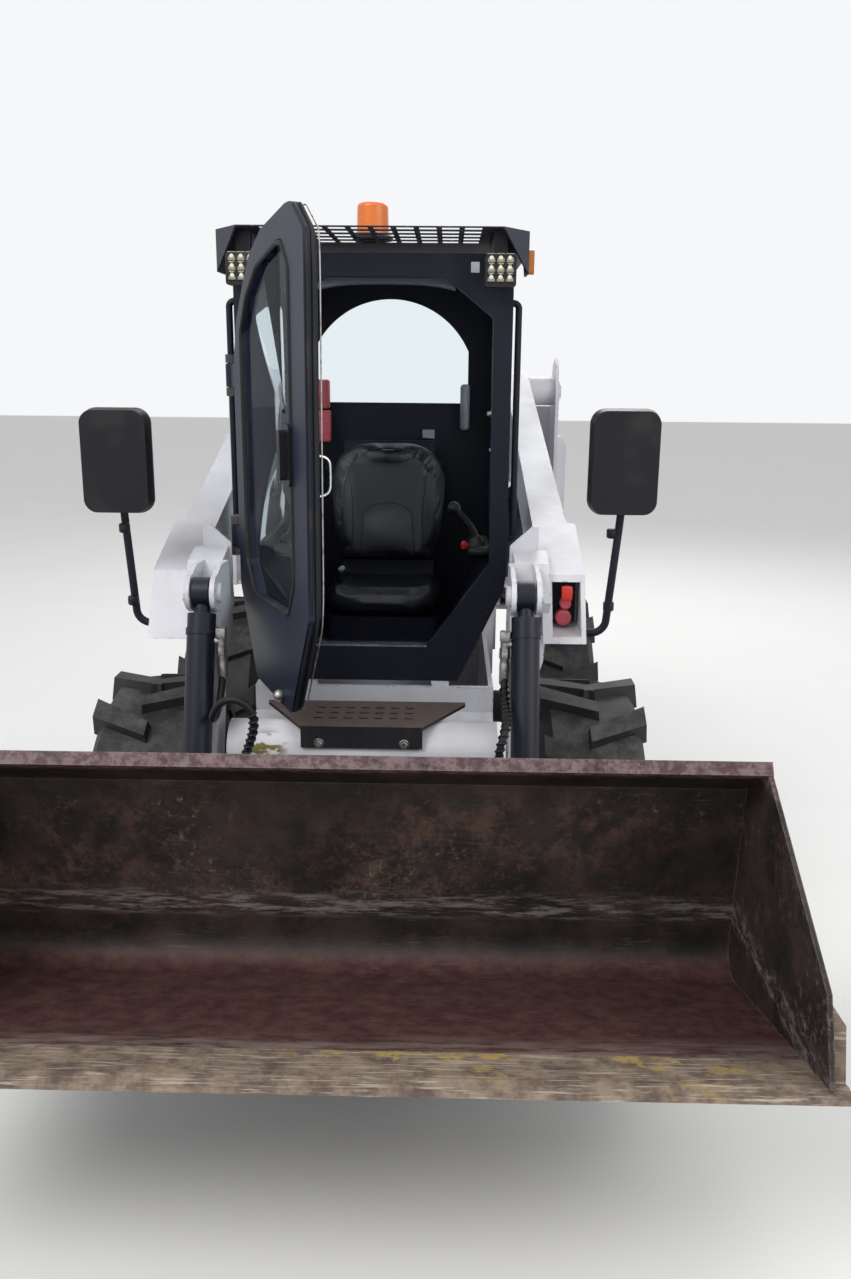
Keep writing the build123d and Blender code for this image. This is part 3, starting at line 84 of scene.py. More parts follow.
def add_camera():
    """The camera at the photograph's place, looking down at the bucket and cab."""
    data = bpy.data.cameras.new("camera")
    data.sensor_fit = "VERTICAL"
    data.sensor_height = 36
    data.lens = FOCAL_PX * 36 / IMAGE_TALL_PX
    camera = bpy.data.objects.new("camera", data)
    turn = Matrix.Rotation(YAW, 3, "Z")
    ahead = turn @ Vector((0, cos(PITCH), -sin(PITCH)))
    up = turn @ Vector((0, sin(PITCH), cos(PITCH)))
    right = turn @ Vector((1, 0, 0))
    rolled_right = cos(ROLL) * right + sin(ROLL) * up
    rolled_up = cos(ROLL) * up - sin(ROLL) * right
    basis = Matrix((rolled_right, rolled_up, -ahead)).transposed()
    camera.matrix_world = Matrix.Translation(CAMERA_AT) @ basis.to_4x4()
    bpy.context.scene.collection.objects.link(camera)
    bpy.context.scene.camera = camera


def at(x, y, z):
    """A point from its distance along X, behind the zero line and above the ground, in metres."""
    return Vector((x, ZERO_Y + y, z))


def add_light(name, at, size, power, aim=(0, 0, 0.9)):
    """A large soft lamp, turned towards a point on the machine."""
    data = bpy.data.lights.new(name, "AREA")
    data.shape = "DISK"
    data.size = size
    data.energy = power
    lamp = bpy.data.objects.new(name, data)
    lamp.location = at
    lamp.rotation_euler = (Vector(aim) - Vector(at)).to_track_quat("-Z", "Y").to_euler()
    bpy.context.scene.collection.objects.link(lamp)


FLOOR_COLOUR = (0.74, 0.735, 0.72, 1)
SKY_COLOUR = (0.92, 0.93, 0.95, 1)
SKY_LIGHT = 0.78


def add_stage():
    """A pale floor, soft lamps, and a pale sky that the camera, glass and metal see."""
    add_light("key", (-3.5, -4.5, 6.0), 4.0, 300)
    add_light("fill", (4.5, -3.5, 3.5), 4.0, 115)
    add_light("back", (1.5, 5.0, 5.0), 4.0, 160)
    bm = bmesh.new()
    bmesh.ops.create_grid(bm, x_segments=1, y_segments=1, size=30)
    mesh = bpy.data.meshes.new("floor")
    bm.to_mesh(mesh)
    bm.free()
    floor = bpy.data.objects.new("floor", mesh)
    floor.location = (0, 0, cad_box[0][2])
    bpy.context.scene.collection.objects.link(floor)
    m = Material("floor", rough=0.9)
    m.colour(m.mix(m.noise(1.4, 4), FLOOR_COLOUR, tuple(0.95 * c for c in FLOOR_COLOUR[:3]) + (1,)))
    floor.data.materials.append(m.material)
    floor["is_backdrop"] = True
    world = bpy.data.worlds.new("sky")
    world.use_nodes = True
    bpy.context.scene.world = world
    tree = world.node_tree
    background = tree.nodes["Background"]
    path = tree.nodes.new("ShaderNodeLightPath")
    seen = tree.nodes.new("ShaderNodeMath")
    seen.operation = "MAXIMUM"
    also = tree.nodes.new("ShaderNodeMath")
    also.operation = "MAXIMUM"
    tree.links.new(path.outputs["Is Camera Ray"], seen.inputs[0])
    tree.links.new(path.outputs["Is Transmission Ray"], seen.inputs[1])
    tree.links.new(seen.outputs[0], also.inputs[0])
    tree.links.new(path.outputs["Is Glossy Ray"], also.inputs[1])
    level = tree.nodes.new("ShaderNodeMapRange")
    level.inputs["To Min"].default_value = SKY_LIGHT
    level.inputs["To Max"].default_value = 1.0
    tree.links.new(also.outputs[0], level.inputs["Value"])
    background.inputs["Color"].default_value = SKY_COLOUR
    tree.links.new(level.outputs["Result"], background.inputs["Strength"])


class Material:
    """A material with one principled shader, and short names for the nodes that feed it."""

    def __init__(self, name, colour=(0.5, 0.5, 0.5, 1), rough=0.5, metal=0.0):
        self.material = bpy.data.materials.new(name)
        self.material.use_nodes = True
        self.tree = self.material.node_tree
        self.shader = self.tree.nodes["Principled BSDF"]
        self.set("Base Color", colour)
        self.set("Roughness", rough)
        self.set("Metallic", metal)
        self.bumps = None
        self.place = self.tree.nodes.new("ShaderNodeTexCoord").outputs["Object"]

    def set(self, socket, value):
        self.shader.inputs[socket].default_value = value

    def wire(self, value, socket):
        if isinstance(value, bpy.types.NodeSocket):
            self.tree.links.new(value, socket)
        else:
            socket.default_value = value

    def scaled(self, scale):
        """Object coordinates stretched along each axis."""
        node = self.tree.nodes.new("ShaderNodeMapping")
        node.inputs["Scale"].default_value = scale
        self.tree.links.new(self.place, node.inputs["Vector"])
        return node.outputs[0]

    def noise(self, scale, detail=4, rough=0.55, stretch=None, warp=0.0):
        node = self.tree.nodes.new("ShaderNodeTexNoise")
        node.inputs["Scale"].default_value = scale
        node.inputs["Detail"].default_value = detail
        node.inputs["Roughness"].default_value = rough
        node.inputs["Distortion"].default_value = warp
        place = self.scaled(stretch) if stretch else self.place
        self.tree.links.new(place, node.inputs["Vector"])
        return node.outputs[0]

    def cells(self, scale, feature="F1", stretch=None):
        node = self.tree.nodes.new("ShaderNodeTexVoronoi")
        node.feature = feature
        node.inputs["Scale"].default_value = scale
        place = self.scaled(stretch) if stretch else self.place
        self.tree.links.new(place, node.inputs["Vector"])
        return node.outputs["Distance"]

    def ramp(self, value, low, high):
        """0 below low, 1 above high, and smooth between them. Swapped ends turn it round."""
        node = self.tree.nodes.new("ShaderNodeMapRange")
        node.interpolation_type = "SMOOTHSTEP"
        node.inputs["From Min"].default_value = low
        node.inputs["From Max"].default_value = high
        self.wire(value, node.inputs["Value"])
        return node.outputs["Result"]

    def maths(self, operation, a, b=0.0, clamp=False):
        node = self.tree.nodes.new("ShaderNodeMath")
        node.operation = operation
        node.use_clamp = clamp
        self.wire(a, node.inputs[0])
        self.wire(b, node.inputs[1])
        return node.outputs[0]

    def mix(self, share, a, b):
        node = self.tree.nodes.new("ShaderNodeMix")
        node.data_type = "RGBA"
        self.wire(share, node.inputs["Factor"])
        self.wire(a, node.inputs["A"])
        self.wire(b, node.inputs["B"])
        return node.outputs["Result"]

    def axis(self, name):
        """One object coordinate, in metres."""
        node = self.tree.nodes.new("ShaderNodeSeparateXYZ")
        self.tree.links.new(self.place, node.inputs[0])
        return node.outputs[name]

    def facing(self, name):
        """One part of the surface normal: Z is 1 on a floor."""
        geometry = self.tree.nodes.new("ShaderNodeNewGeometry")
        node = self.tree.nodes.new("ShaderNodeSeparateXYZ")
        self.tree.links.new(geometry.outputs["Normal"], node.inputs[0])
        return node.outputs[name]

    def edges(self, reach=0.004):
        """Near 1 on convex and concave edges, 0 on flat faces."""
        bevel = self.tree.nodes.new("ShaderNodeBevel")
        bevel.samples = 4
        bevel.inputs["Radius"].default_value = reach
        geometry = self.tree.nodes.new("ShaderNodeNewGeometry")
        dot = self.tree.nodes.new("ShaderNodeVectorMath")
        dot.operation = "DOT_PRODUCT"
        self.tree.links.new(bevel.outputs[0], dot.inputs[0])
        self.tree.links.new(geometry.outputs["Normal"], dot.inputs[1])
        return self.ramp(dot.outputs["Value"], 0.995, 0.86)

    def colour(self, value):
        self.wire(value, self.shader.inputs["Base Color"])

    def rough(self, value):
        self.wire(value, self.shader.inputs["Roughness"])

    def metal(self, value):
        self.wire(value, self.shader.inputs["Metallic"])

    def bump(self, height, depth, strength=1.0):
        """Adds a relief of that depth, in metres, over what is there."""
        node = self.tree.nodes.new("ShaderNodeBump")
        node.inputs["Strength"].default_value = strength
        node.inputs["Distance"].default_value = depth
        self.wire(height, node.inputs["Height"])
        if self.bumps:
            self.tree.links.new(self.bumps, node.inputs["Normal"])
        self.bumps = node.outputs[0]
        self.tree.links.new(self.bumps, self.shader.inputs["Normal"])


DUST = (0.30, 0.25, 0.20, 1)
DRY_MUD = (0.13, 0.12, 0.11, 1)
RUST = (0.13, 0.05, 0.028, 1)
STEEL = (0.30, 0.29, 0.28, 1)


def paint(name, colour, chips=0.5, dust=0.5, gloss=0.38, under=RUST, sheen=0.5):
    """Sprayed paint: faint colour drift, chipped edges down to under, dust on tops and low down."""
    m = Material(name, rough=gloss)
    m.set("Specular IOR Level", sheen)
    drift = m.noise(3.0, 3)
    base = m.mix(m.ramp(drift, 0.3, 0.7), colour, tuple(0.86 * c for c in colour[:3]) + (1,))
    chip_noise = m.noise(60, 5, 0.65)
    rough_edge = m.ramp(chip_noise, 0.62 - 0.14 * chips, 0.70 - 0.10 * chips)
    edge = m.maths("MULTIPLY", m.edges(0.005), rough_edge)
    spots = m.ramp(m.noise(34, 6, 0.72), 0.74 - 0.05 * chips, 0.77 - 0.05 * chips)
    chipped = m.maths("MAXIMUM", edge, spots, True)
    streak = m.noise(9, 4, 0.6, stretch=(1.0, 1.0, 0.12))
    top = m.maths("MULTIPLY", m.ramp(m.facing("Z"), 0.15, 0.95), 0.8)
    low = m.maths("MULTIPLY", m.ramp(m.axis("Z"), 1.15, 0.25), 0.6)
    film = m.maths("MULTIPLY", m.maths("ADD", top, low), m.ramp(m.noise(7, 6, 0.65), 0.25, 0.75))
    film = m.maths("ADD", film, m.maths("MULTIPLY", m.ramp(streak, 0.5, 0.72), 0.35))
    film = m.maths("MULTIPLY", film, dust, True)
    m.base = m.mix(chipped, m.mix(film, base, DUST), under)
    m.colour(m.base)
    worn = m.maths("ADD", m.maths("MULTIPLY", film, 0.4), m.maths("MULTIPLY", chipped, 0.35))
    m.rough(m.maths("ADD", worn, m.maths("ADD", gloss - 0.05, m.maths("MULTIPLY", drift, 0.1))))
    m.bump(m.noise(420, 2), 0.0002)
    m.bump(m.maths("SUBTRACT", 1.0, chipped), 0.0006)
    return m


def scuffs(m, centre, size, colour, stretch, low, high):
    """Scratches in one place: a soft-edged ball round centre, broken up by stretched noise."""
    away = m.tree.nodes.new("ShaderNodeVectorMath")
    away.operation = "DISTANCE"
    m.tree.links.new(m.place, away.inputs[0])
    away.inputs[1].default_value = centre
    near = m.ramp(away.outputs["Value"], size, 0.4 * size)
    marks = m.maths("MULTIPLY", near, m.ramp(m.noise(30, 5, 0.6, stretch=stretch), low, high))
    m.base = m.mix(marks, m.base, colour)
    m.colour(m.base)


MATERIALS = {}


def plain(key, name, colour, rough, dust=0.2, grain=500, depth=0.0002):
    """Plastic or rubber with a fine grain, and a little dust that dulls it."""
    m = Material(name, colour, rough)
    m.set("Specular IOR Level", 0.3)
    film = m.ramp(m.noise(9, 5), 0.5, 0.85)
    m.colour(m.mix(m.maths("MULTIPLY", film, dust), colour, DUST))
    m.rough(m.maths("ADD", rough - 0.06, m.maths("MULTIPLY", film, 0.25)))
    m.bump(m.noise(grain, 2), depth)
    MATERIALS[key] = m
    return m


def make_materials():
    """One procedural material for each kind of surface."""
    white = paint("white_paint", (0.66, 0.66, 0.70, 1), chips=0.6, dust=0.30)
    scuffs(white, at(0.03, -0.02, 0.812), 0.07, (0.03, 0.028, 0.03, 1), (0.35, 1, 2.2), 0.52, 0.60)
    scuffs(white, at(-0.24, -0.40, 0.77), 0.07, (0.16, 0.13, 0.03, 1), (0.6, 1, 1.2), 0.56, 0.62)
    MATERIALS["white"] = white
    iron = (0.09, 0.085, 0.085, 1)
    MATERIALS["black"] = paint("black_paint", (0.007, 0.009, 0.018, 1), 0.12, 0.04, 0.5, iron, 0.22)
    MATERIALS["door"] = paint("door_paint", (0.008, 0.012, 0.030, 1), 0.1, 0.03, 0.46, iron, 0.28)
    MATERIALS["visor"] = paint("visor_paint", (0.024, 0.026, 0.042, 1), 0.1, 0.08, 0.48, STEEL, 0.3)
    MATERIALS["steel"] = paint("dark_steel", (0.035, 0.035, 0.04, 1), 0.8, 0.5, 0.5)
    MATERIALS["cylinder"] = paint("cylinder_paint", (0.006, 0.008, 0.017, 1), 0.3, 0.06, 0.4, iron, 0.3)
    MATERIALS["rim"] = paint("rim_paint", (0.62, 0.61, 0.60, 1), 0.5, 0.7)
    MATERIALS["engine"] = paint("engine_iron", (0.05, 0.05, 0.055, 1), 0.3, 0.5, 0.6)
    tread = paint("worn_tread", (0.012, 0.012, 0.016, 1), 0.4, 0.1, 0.6, iron, 0.3)
    brown = tread.mix(tread.noise(26, 5), (0.055, 0.032, 0.028, 1), (0.11, 0.075, 0.066, 1))
    tread.colour(tread.mix(tread.ramp(tread.facing("Z"), 0.4, 0.9), tread.base, brown))
    MATERIALS["tread"] = tread
    sill = paint("worn_sill", (0.10, 0.105, 0.14, 1), 1.0, 0.2, 0.5, STEEL)
    MATERIALS["sill"] = sill
    MATERIALS["bucket"] = bucket_material()
    MATERIALS["edge"] = edge_material()
    MATERIALS["tyre"] = tyre_material()
    MATERIALS["glass"] = glass_material()
    m = Material("rod_chrome", (0.78, 0.79, 0.80, 1), 0.12, 1.0)
    m.rough(m.ramp(m.noise(30, 4), -0.4, 2.2))
    m.bump(m.noise(300, 2, stretch=(1, 1, 8)), 0.00004)
    MATERIALS["chrome"] = m
    m = Material("zinc_steel", (0.42, 0.42, 0.41, 1), 0.38, 0.85)
    m.colour(m.mix(m.ramp(m.noise(60, 5), 0.45, 0.7), (0.42, 0.42, 0.41, 1), (0.20, 0.17, 0.14, 1)))
    m.rough(m.ramp(m.noise(90, 4), -0.6, 1.8))
    m.bump(m.noise(700, 2), 0.0001)
    MATERIALS["zinc"] = m
    plain("plastic", "black_plastic", (0.006, 0.006, 0.009, 1), 0.5, 0.06, 900)
    plain("rubber", "black_rubber", (0.009, 0.009, 0.010, 1), 0.62, 0.10)
    plain("lamp", "lamp_body", (0.012, 0.012, 0.016, 1), 0.4, 0.1)
    plain("liner", "grey_liner", (0.11, 0.11, 0.14, 1), 0.75, 0.15, 300, 0.0005)
    plain("blank", "blank_plate", (0.26, 0.27, 0.31, 1), 0.45, 0.15)
    plain("amber", "amber_lens", (0.55, 0.20, 0.045, 1), 0.25, 0.10, 250)
    plain("lens", "lamp_lens", (0.30, 0.285, 0.20, 1), 0.18, 0.1, 260, 0.0004)
    plain("diode", "lamp_diode", (0.72, 0.70, 0.58, 1), 0.2, 0.05, 260)
    plain("red_button", "red_button", (0.30, 0.012, 0.012, 1), 0.35, 0.05)
    plain("flag", "bright_red", (0.55, 0.035, 0.025, 1), 0.4, 0.1)
    m = plain("red", "red_plastic", (0.46, 0.075, 0.10, 1), 0.5, 0.12, 350, 0.0003)
    faded = m.mix(m.ramp(m.noise(25, 5), 0.4, 0.75), (0.46, 0.075, 0.10, 1), (0.36, 0.10, 0.10, 1))
    m.colour(faded)
    m = Material("red_lens", (0.35, 0.01, 0.01, 1), 0.12)
    m.set("Transmission Weight", 0.35)
    m.rough(m.ramp(m.noise(12, 4), -0.3, 2.4))
    m.bump(m.cells(160), 0.0008)
    MATERIALS["red_lens"] = m
    m = Material("orange_lens", (0.90, 0.22, 0.03, 1), 0.2)
    m.set("Transmission Weight", 0.25)
    m.colour(m.mix(m.ramp(m.noise(12, 4), 0.4, 0.8), (0.90, 0.22, 0.03, 1), (0.72, 0.19, 0.035, 1)))
    m.rough(m.ramp(m.noise(14, 4), -0.3, 2.0))
    m.bump(m.noise(60, 2), 0.0002)
    MATERIALS["orange"] = m
    MATERIALS["vinyl"] = vinyl_material()


def bucket_material():
    """Dark worn paint with mottled mud in a band, rust on the lip, and a redder, scraped floor whose front
    strip is painted lighter: painted sunlight over real scraped wear.
    """
    m = Material("bucket_worn_sunlit_floor", rough=0.6)
    m.set("Specular IOR Level", 0.3)
    dark = (0.012, 0.010, 0.010, 1)
    bare = (0.042, 0.031, 0.028, 1)
    base = m.mix(m.ramp(m.noise(5, 7, 0.7), 0.35, 0.68), dark, bare)
    rusty = m.ramp(m.noise(14, 8, 0.75, warp=0.6), 0.50, 0.66)
    base = m.mix(m.maths("MULTIPLY", rusty, 0.6), base, (0.060, 0.027, 0.022, 1))
    floor = m.maths("MULTIPLY", m.ramp(m.facing("Z"), 0.35, 0.9), m.ramp(m.axis("Z"), 0.55, 0.42))
    maroon = m.mix(m.ramp(m.noise(22, 6, 0.7), 0.3, 0.7), (0.042, 0.016, 0.015, 1), (0.085, 0.042, 0.036, 1))
    base = m.mix(m.maths("MULTIPLY", floor, m.ramp(m.noise(6, 6, 0.7), 0.15, 0.45)), base, maroon)
    fine = m.ramp(m.noise(26, 3, 0.5, stretch=(0.5, 6, 6)), 0.62, 0.70)
    scratch = m.maths("MULTIPLY", fine, m.ramp(m.noise(3, 2), 0.45, 0.6))
    base = m.mix(m.maths("MULTIPLY", scratch, 0.25), base, (0.22, 0.18, 0.16, 1))
    # Painted sunlight: the floor's front strip, where the back's shadow stops, is painted lighter over real
    # scraped wear
    worn = m.maths("MULTIPLY", floor, m.ramp(m.axis("Y"), -1.30, -1.42))
    worn = m.maths("MULTIPLY", worn, m.ramp(m.noise(16, 8, 0.75, stretch=(0.3, 2, 2)), 0.40, 0.60))
    base = m.mix(m.maths("MULTIPLY", worn, 0.8), base, (0.20, 0.145, 0.125, 1))
    band = m.maths("MULTIPLY", m.ramp(m.axis("Z"), 0.44, 0.52), m.ramp(m.axis("Z"), 0.82, 0.72))
    brown = m.maths("MULTIPLY", m.ramp(m.noise(11, 6, 0.8), 0.46, 0.62), m.ramp(m.noise(2.6, 3), 0.38, 0.6))
    base = m.mix(m.maths("MULTIPLY", m.maths("MULTIPLY", brown, band), 0.8), base, (0.105, 0.058, 0.042, 1))
    mud = m.ramp(m.noise(34, 8, 0.8), 0.50, 0.62)
    mud = m.maths("MULTIPLY", m.maths("MULTIPLY", mud, m.ramp(m.noise(3.1, 4), 0.42, 0.66)), band)
    beige = m.mix(m.noise(40, 4), (0.16, 0.115, 0.09, 1), (0.30, 0.24, 0.19, 1))
    base = m.mix(m.maths("MULTIPLY", mud, 0.7), base, beige)
    bend = m.maths("MULTIPLY", m.ramp(m.axis("Z"), 0.425, 0.455), m.ramp(m.axis("Z"), 0.52, 0.475))
    scraped = m.maths("MULTIPLY", bend, m.ramp(m.noise(24, 6, 0.75, stretch=(0.4, 1, 3)), 0.46, 0.62))
    base = m.mix(m.maths("MULTIPLY", scraped, 0.6), base, (0.26, 0.23, 0.215, 1))
    lip = m.maths("MULTIPLY", m.ramp(m.axis("Z"), 0.835, 0.855), m.ramp(m.noise(16, 5), 0.30, 0.50))
    mauve = m.mix(m.ramp(m.noise(45, 5, 0.7), 0.4, 0.6), (0.070, 0.034, 0.036, 1), (0.16, 0.11, 0.115, 1))
    base = m.mix(lip, base, mauve)
    edge = m.maths("MULTIPLY", m.edges(0.006), m.ramp(m.noise(30, 5), 0.35, 0.55))
    base = m.mix(m.maths("MULTIPLY", edge, 0.55), base, (0.20, 0.155, 0.15, 1))
    m.colour(base)
    m.rough(m.maths("ADD", 0.42, m.maths("MULTIPLY", m.maths("ADD", mud, m.noise(12, 4)), 0.28)))
    m.bump(m.noise(9, 6, 0.7), 0.004, 0.5)
    m.bump(m.noise(120, 4, 0.7), 0.0012)
    m.bump(mud, 0.003)
    return m


def edge_material():
    """Scraped steel, brown with long scratches along X and a trace of yellow paint."""
    m = Material("worn_edge", rough=0.45)
    base = m.mix(m.ramp(m.noise(18, 7, 0.7), 0.35, 0.65), (0.24, 0.18, 0.13, 1), (0.085, 0.058, 0.046, 1))
    shiny = m.ramp(m.noise(26, 5, 0.62, stretch=(0.35, 5, 5)), 0.52, 0.64)
    base = m.mix(m.maths("MULTIPLY", shiny, 0.8), base, (0.46, 0.39, 0.31, 1))
    yellow = m.maths("MULTIPLY", m.ramp(m.noise(20, 6, 0.7), 0.50, 0.60), m.ramp(m.noise(2.6, 2), 0.50, 0.62))
    low = m.ramp(m.axis("Z"), 0.50, 0.45)
    base = m.mix(m.maths("MULTIPLY", yellow, low), base, (0.38, 0.26, 0.07, 1))
    m.colour(base)
    m.metal(m.maths("MULTIPLY", shiny, 0.3))
    m.rough(m.ramp(m.noise(22, 5), -0.6, 1.1))
    m.bump(m.noise(90, 5, 0.7), 0.0014)
    m.bump(shiny, 0.0006)
    return m


def tyre_material():
    """Black rubber, greyer on top where dust lies, with a fine worn grain."""
    m = Material("tyre_rubber", rough=0.7)
    m.set("Specular IOR Level", 0.35)
    rubber = m.mix(m.noise(9, 4), (0.010, 0.010, 0.012, 1), (0.020, 0.019, 0.020, 1))
    lies = m.maths("ADD", 0.10, m.maths("MULTIPLY", m.ramp(m.facing("Z"), 0.2, 0.9), 0.5))
    film = m.maths("MULTIPLY", m.ramp(m.noise(11, 7, 0.72), 0.38, 0.68), lies)
    m.colour(m.mix(film, rubber, DRY_MUD))
    m.rough(m.maths("ADD", 0.62, m.maths("MULTIPLY", film, 0.4)))
    m.bump(m.noise(240, 4), 0.0006)
    m.bump(m.noise(24, 6, 0.7), 0.002, 0.6)
    return m


def glass_material():
    """Clear flat glass with a green tint and a little dust."""
    m = Material("window_glass", (0.86, 0.93, 0.95, 1), 0.02)
    m.set("Transmission Weight", 1.0)
    m.set("IOR", 1.05)
    m.rough(m.maths("MULTIPLY", m.ramp(m.noise(5, 6, 0.7), 0.45, 0.8), 0.12))
    m.bump(m.noise(2, 1), 0.0002)
    return m


def vinyl_material():
    """Black seat vinyl with a fine grain and a faint bloom of dust."""
    m = Material("seat_vinyl", (0.005, 0.006, 0.010, 1), 0.36)
    film = m.ramp(m.noise(6, 5), 0.5, 0.85)
    m.colour(m.mix(m.maths("MULTIPLY", film, 0.06), (0.005, 0.006, 0.010, 1), DUST))
    m.rough(m.maths("ADD", 0.38, m.maths("MULTIPLY", film, 0.2)))
    m.bump(m.cells(420), 0.0004)
    return m


NODE_MATERIALS = {
    "white": (
        "mainframe",
        "step_bar",
        "tower_left",
        "tower_right",
        "lift_arm_left",
        "lift_arm_right",
        "torque_tube",
    ),
    "black": (
        "hood_grille",
        "tailgate",
        "cab_frame",
        "cab_rails",
        "seat_base",
        "mirror_stalks",
        "coupler_block",
    ),
    "tread": ("step",),
    "door": ("door_frame",),
    "visor": ("visor",),
    "steel": ("axle_housings", "quick_coupler", "door_hinges"),
    "cylinder": ("lift_barrel_left", "lift_barrel_right", "tilt_barrel_left", "tilt_barrel_right"),
    "chrome": ("lift_rod_left", "lift_rod_right", "tilt_rod_left", "tilt_rod_right"),
    "engine": ("engine",),
    "bucket": ("bucket",),
    "edge": ("cutting_edge",),
    "glass": ("door_glass", "rear_window", "side_windows"),
    "plastic": ("control_levers", "door_handle", "mirror_heads"),
    "red": ("coupler_caps",),
    "red_lens": ("tail_lamps",),
    "orange": ("beacon",),
    "amber": ("marker_lamp",),
    "lamp": ("work_lamps",),
    "zinc": ("hose_fittings",),
    "rubber": ("hose_left", "hose_right"),
    "vinyl": ("seat_cushion", "seat_back"),
    "tyre": ("tyre_front_left", "tyre_front_right", "tyre_rear_left", "tyre_rear_right"),
    "rim": ("rim_front_left", "rim_front_right", "rim_rear_left", "rim_rear_right"),
}


def dress_nodes():
    """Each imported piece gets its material, with round faces shaded smooth."""
    for kind, names in NODE_MATERIALS.items():
        for name in names:
            mesh = nodes[name].data
            mesh.materials.clear()
            mesh.materials.append(MATERIALS[kind].material)
            mesh.shade_smooth()
            mesh.set_sharp_from_angle(angle=radians(32))


def keep(name, data, kind, body):
    """Links a piece, gives it its material, and lets it ride on a body."""
    piece = bpy.data.objects.new(name, data)
    bpy.context.scene.collection.objects.link(piece)
    data.materials.append(MATERIALS[kind].material)
    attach(piece, body)
    return piece


def add_mesh(name, bm, kind, body, angle=35):
    """Turns a bmesh into a piece with smooth round faces."""
    mesh = bpy.data.meshes.new(name)
    bmesh.ops.recalc_face_normals(bm, faces=bm.faces)
    bm.to_mesh(mesh)
    bm.free()
    mesh.shade_smooth()
    mesh.set_sharp_from_angle(angle=radians(angle))
    return keep(name, mesh, kind, body)


def lathe(bm, origin, axis, profile, steps=24):
    """A turned form: profile holds (distance along the axis, radius) from end to end."""
    turn = Vector(axis).to_track_quat("Z", "Y").to_matrix()
    angles = [2 * pi * k / steps for k in range(steps)]
    rings = []
    for along, radius in profile:
        spots = [Vector((radius * cos(a), radius * sin(a), along)) for a in angles]
        rings.append([bm.verts.new(Vector(origin) + turn @ spot) for spot in spots])
    for one, two in zip(rings, rings[1:]):
        for k in range(steps):
            bm.faces.new((one[k], one[(k + 1) % steps], two[(k + 1) % steps], two[k]))
    bm.faces.new(list(reversed(rings[0])))
    bm.faces.new(rings[-1])


def ball(radius):
    """The profile of a ball round the origin of a turned form."""
    angles = [pi * k / 10 - pi / 2 for k in range(11)]
    return [(radius * sin(a), max(0.001, radius * cos(a))) for a in angles]


def block(bm, low, high, round_by=0.003):
    """A box between two corners with rounded edges."""
    low, high = Vector(low), Vector(high)
    place = Matrix.LocRotScale((low + high) / 2, None, high - low)
    corners = bmesh.ops.create_cube(bm, size=1, matrix=place)["verts"]
    edges = list({edge for v in corners for edge in v.link_edges})
    bmesh.ops.bevel(
        bm, geom=edges, offset=round_by, segments=2, profile=0.5, affect="EDGES", clamp_overlap=True
    )


def tube(name, points, radius, kind, body, order=3):
    """A round bar or bead along points: order 3 rounds its corners, order 2 keeps them."""
    curve = bpy.data.curves.new(name, "CURVE")
    curve.dimensions = "3D"
    curve.bevel_depth = 1
    curve.bevel_resolution = 3
    curve.resolution_u = 10
    curve.use_fill_caps = True
    spline = curve.splines.new("NURBS")
    spline.points.add(len(points) - 1)
    for point, place in zip(spline.points, points):
        point.co = (*place, 1)
        point.radius = radius
    spline.order_u = order
    spline.use_endpoint_u = True
    return keep(name, curve, kind, body)


def skin(mesh):
    """A tree of a mesh's faces, to find places on it by a straight line."""
    return BVHTree.FromPolygons([v.co for v in mesh.vertices], [p.vertices for p in mesh.polygons])


def add_bolts(name, node, body, towards, starts, size=0.008, kind="zinc", sides=6):
    """Bolt heads with washers, seated where lines from the starts meet the node."""
    tree = skin(nodes[node].data)
    out = -Vector(towards).normalized()
    washer = ((0, 1.5 * size), (0.14 * size, 1.5 * size), (0.22 * size, 1.4 * size))
    head = ((0.2 * size, size), (0.72 * size, size), (0.9 * size, 0.8 * size))
    bm = bmesh.new()
    for start in starts:
        hit = tree.ray_cast(Vector(start), -out)[0]
        if hit is None:
            continue
        lathe(bm, hit - 0.0004 * out, out, washer, 20)
        lathe(bm, hit, out, head, sides)
    return add_mesh(name, bm, kind, body, 30)


# The hoses' routes: the same points as in the part, in metres from the zero line
TORQUE_Y = -0.404
HOSE_ROUTES = {
    "left": [
        (0.350, -0.34106, 0.985),
        (0.350, -0.34106, 0.938),
        (0.352, -0.385, 0.898),
        (0.353, -0.440, 0.884),
        (0.350, -0.490, 0.870),
        (0.337, -0.512, 0.836),
        (0.331, -0.509, 0.788),
        (0.337, -0.494, 0.734),
        (0.344, -0.472, 0.676),
        (0.350, -0.444, 0.620),
        (0.351, -0.420, 0.574),
        (0.350, TORQUE_Y, 0.543),
        (0.350, TORQUE_Y, 0.5123),
    ],
    "right": [
        (-0.350, -0.34106, 0.985),
        (-0.350, -0.34106, 0.938),
        (-0.353, -0.376, 0.888),
        (-0.352, -0.432, 0.868),
        (-0.351, -0.480, 0.878),
        (-0.340, -0.504, 0.908),
        (-0.316, -0.514, 0.938),
        (-0.278, -0.520, 0.943),
        (-0.248, -0.520, 0.919),
        (-0.243, -0.514, 0.878),
        (-0.256, -0.505, 0.832),
        (-0.277, -0.496, 0.780),
        (-0.300, -0.484, 0.724),
        (-0.324, -0.466, 0.668),
        (-0.342, -0.440, 0.616),
        (-0.350, -0.416, 0.572),
        (-0.350, TORQUE_Y, 0.543),
        (-0.350, TORQUE_Y, 0.5123),
    ],
}
# Where the spiral guard starts, as a share of the hose's length
GUARD_STARTS = {"left": 0.10, "right": 0.46}


def centre_line(cord):
    """Evenly spaced points along a cord's own spline."""
    bare = cord.data.copy()
    bare.bevel_depth = 0
    bare.resolution_u = 24
    ghost = bpy.data.objects.new("ghost", bare)
    line = [v.co.copy() for v in bpy.data.meshes.new_from_object(ghost).vertices]
    bpy.data.objects.remove(ghost)
    spots = [line[0]]
    for one, two in zip(line, line[1:]):
        steps = max(1, round((two - one).length / 0.0015))
        spots += [one.lerp(two, (k + 1) / steps) for k in range(steps)]
    return spots


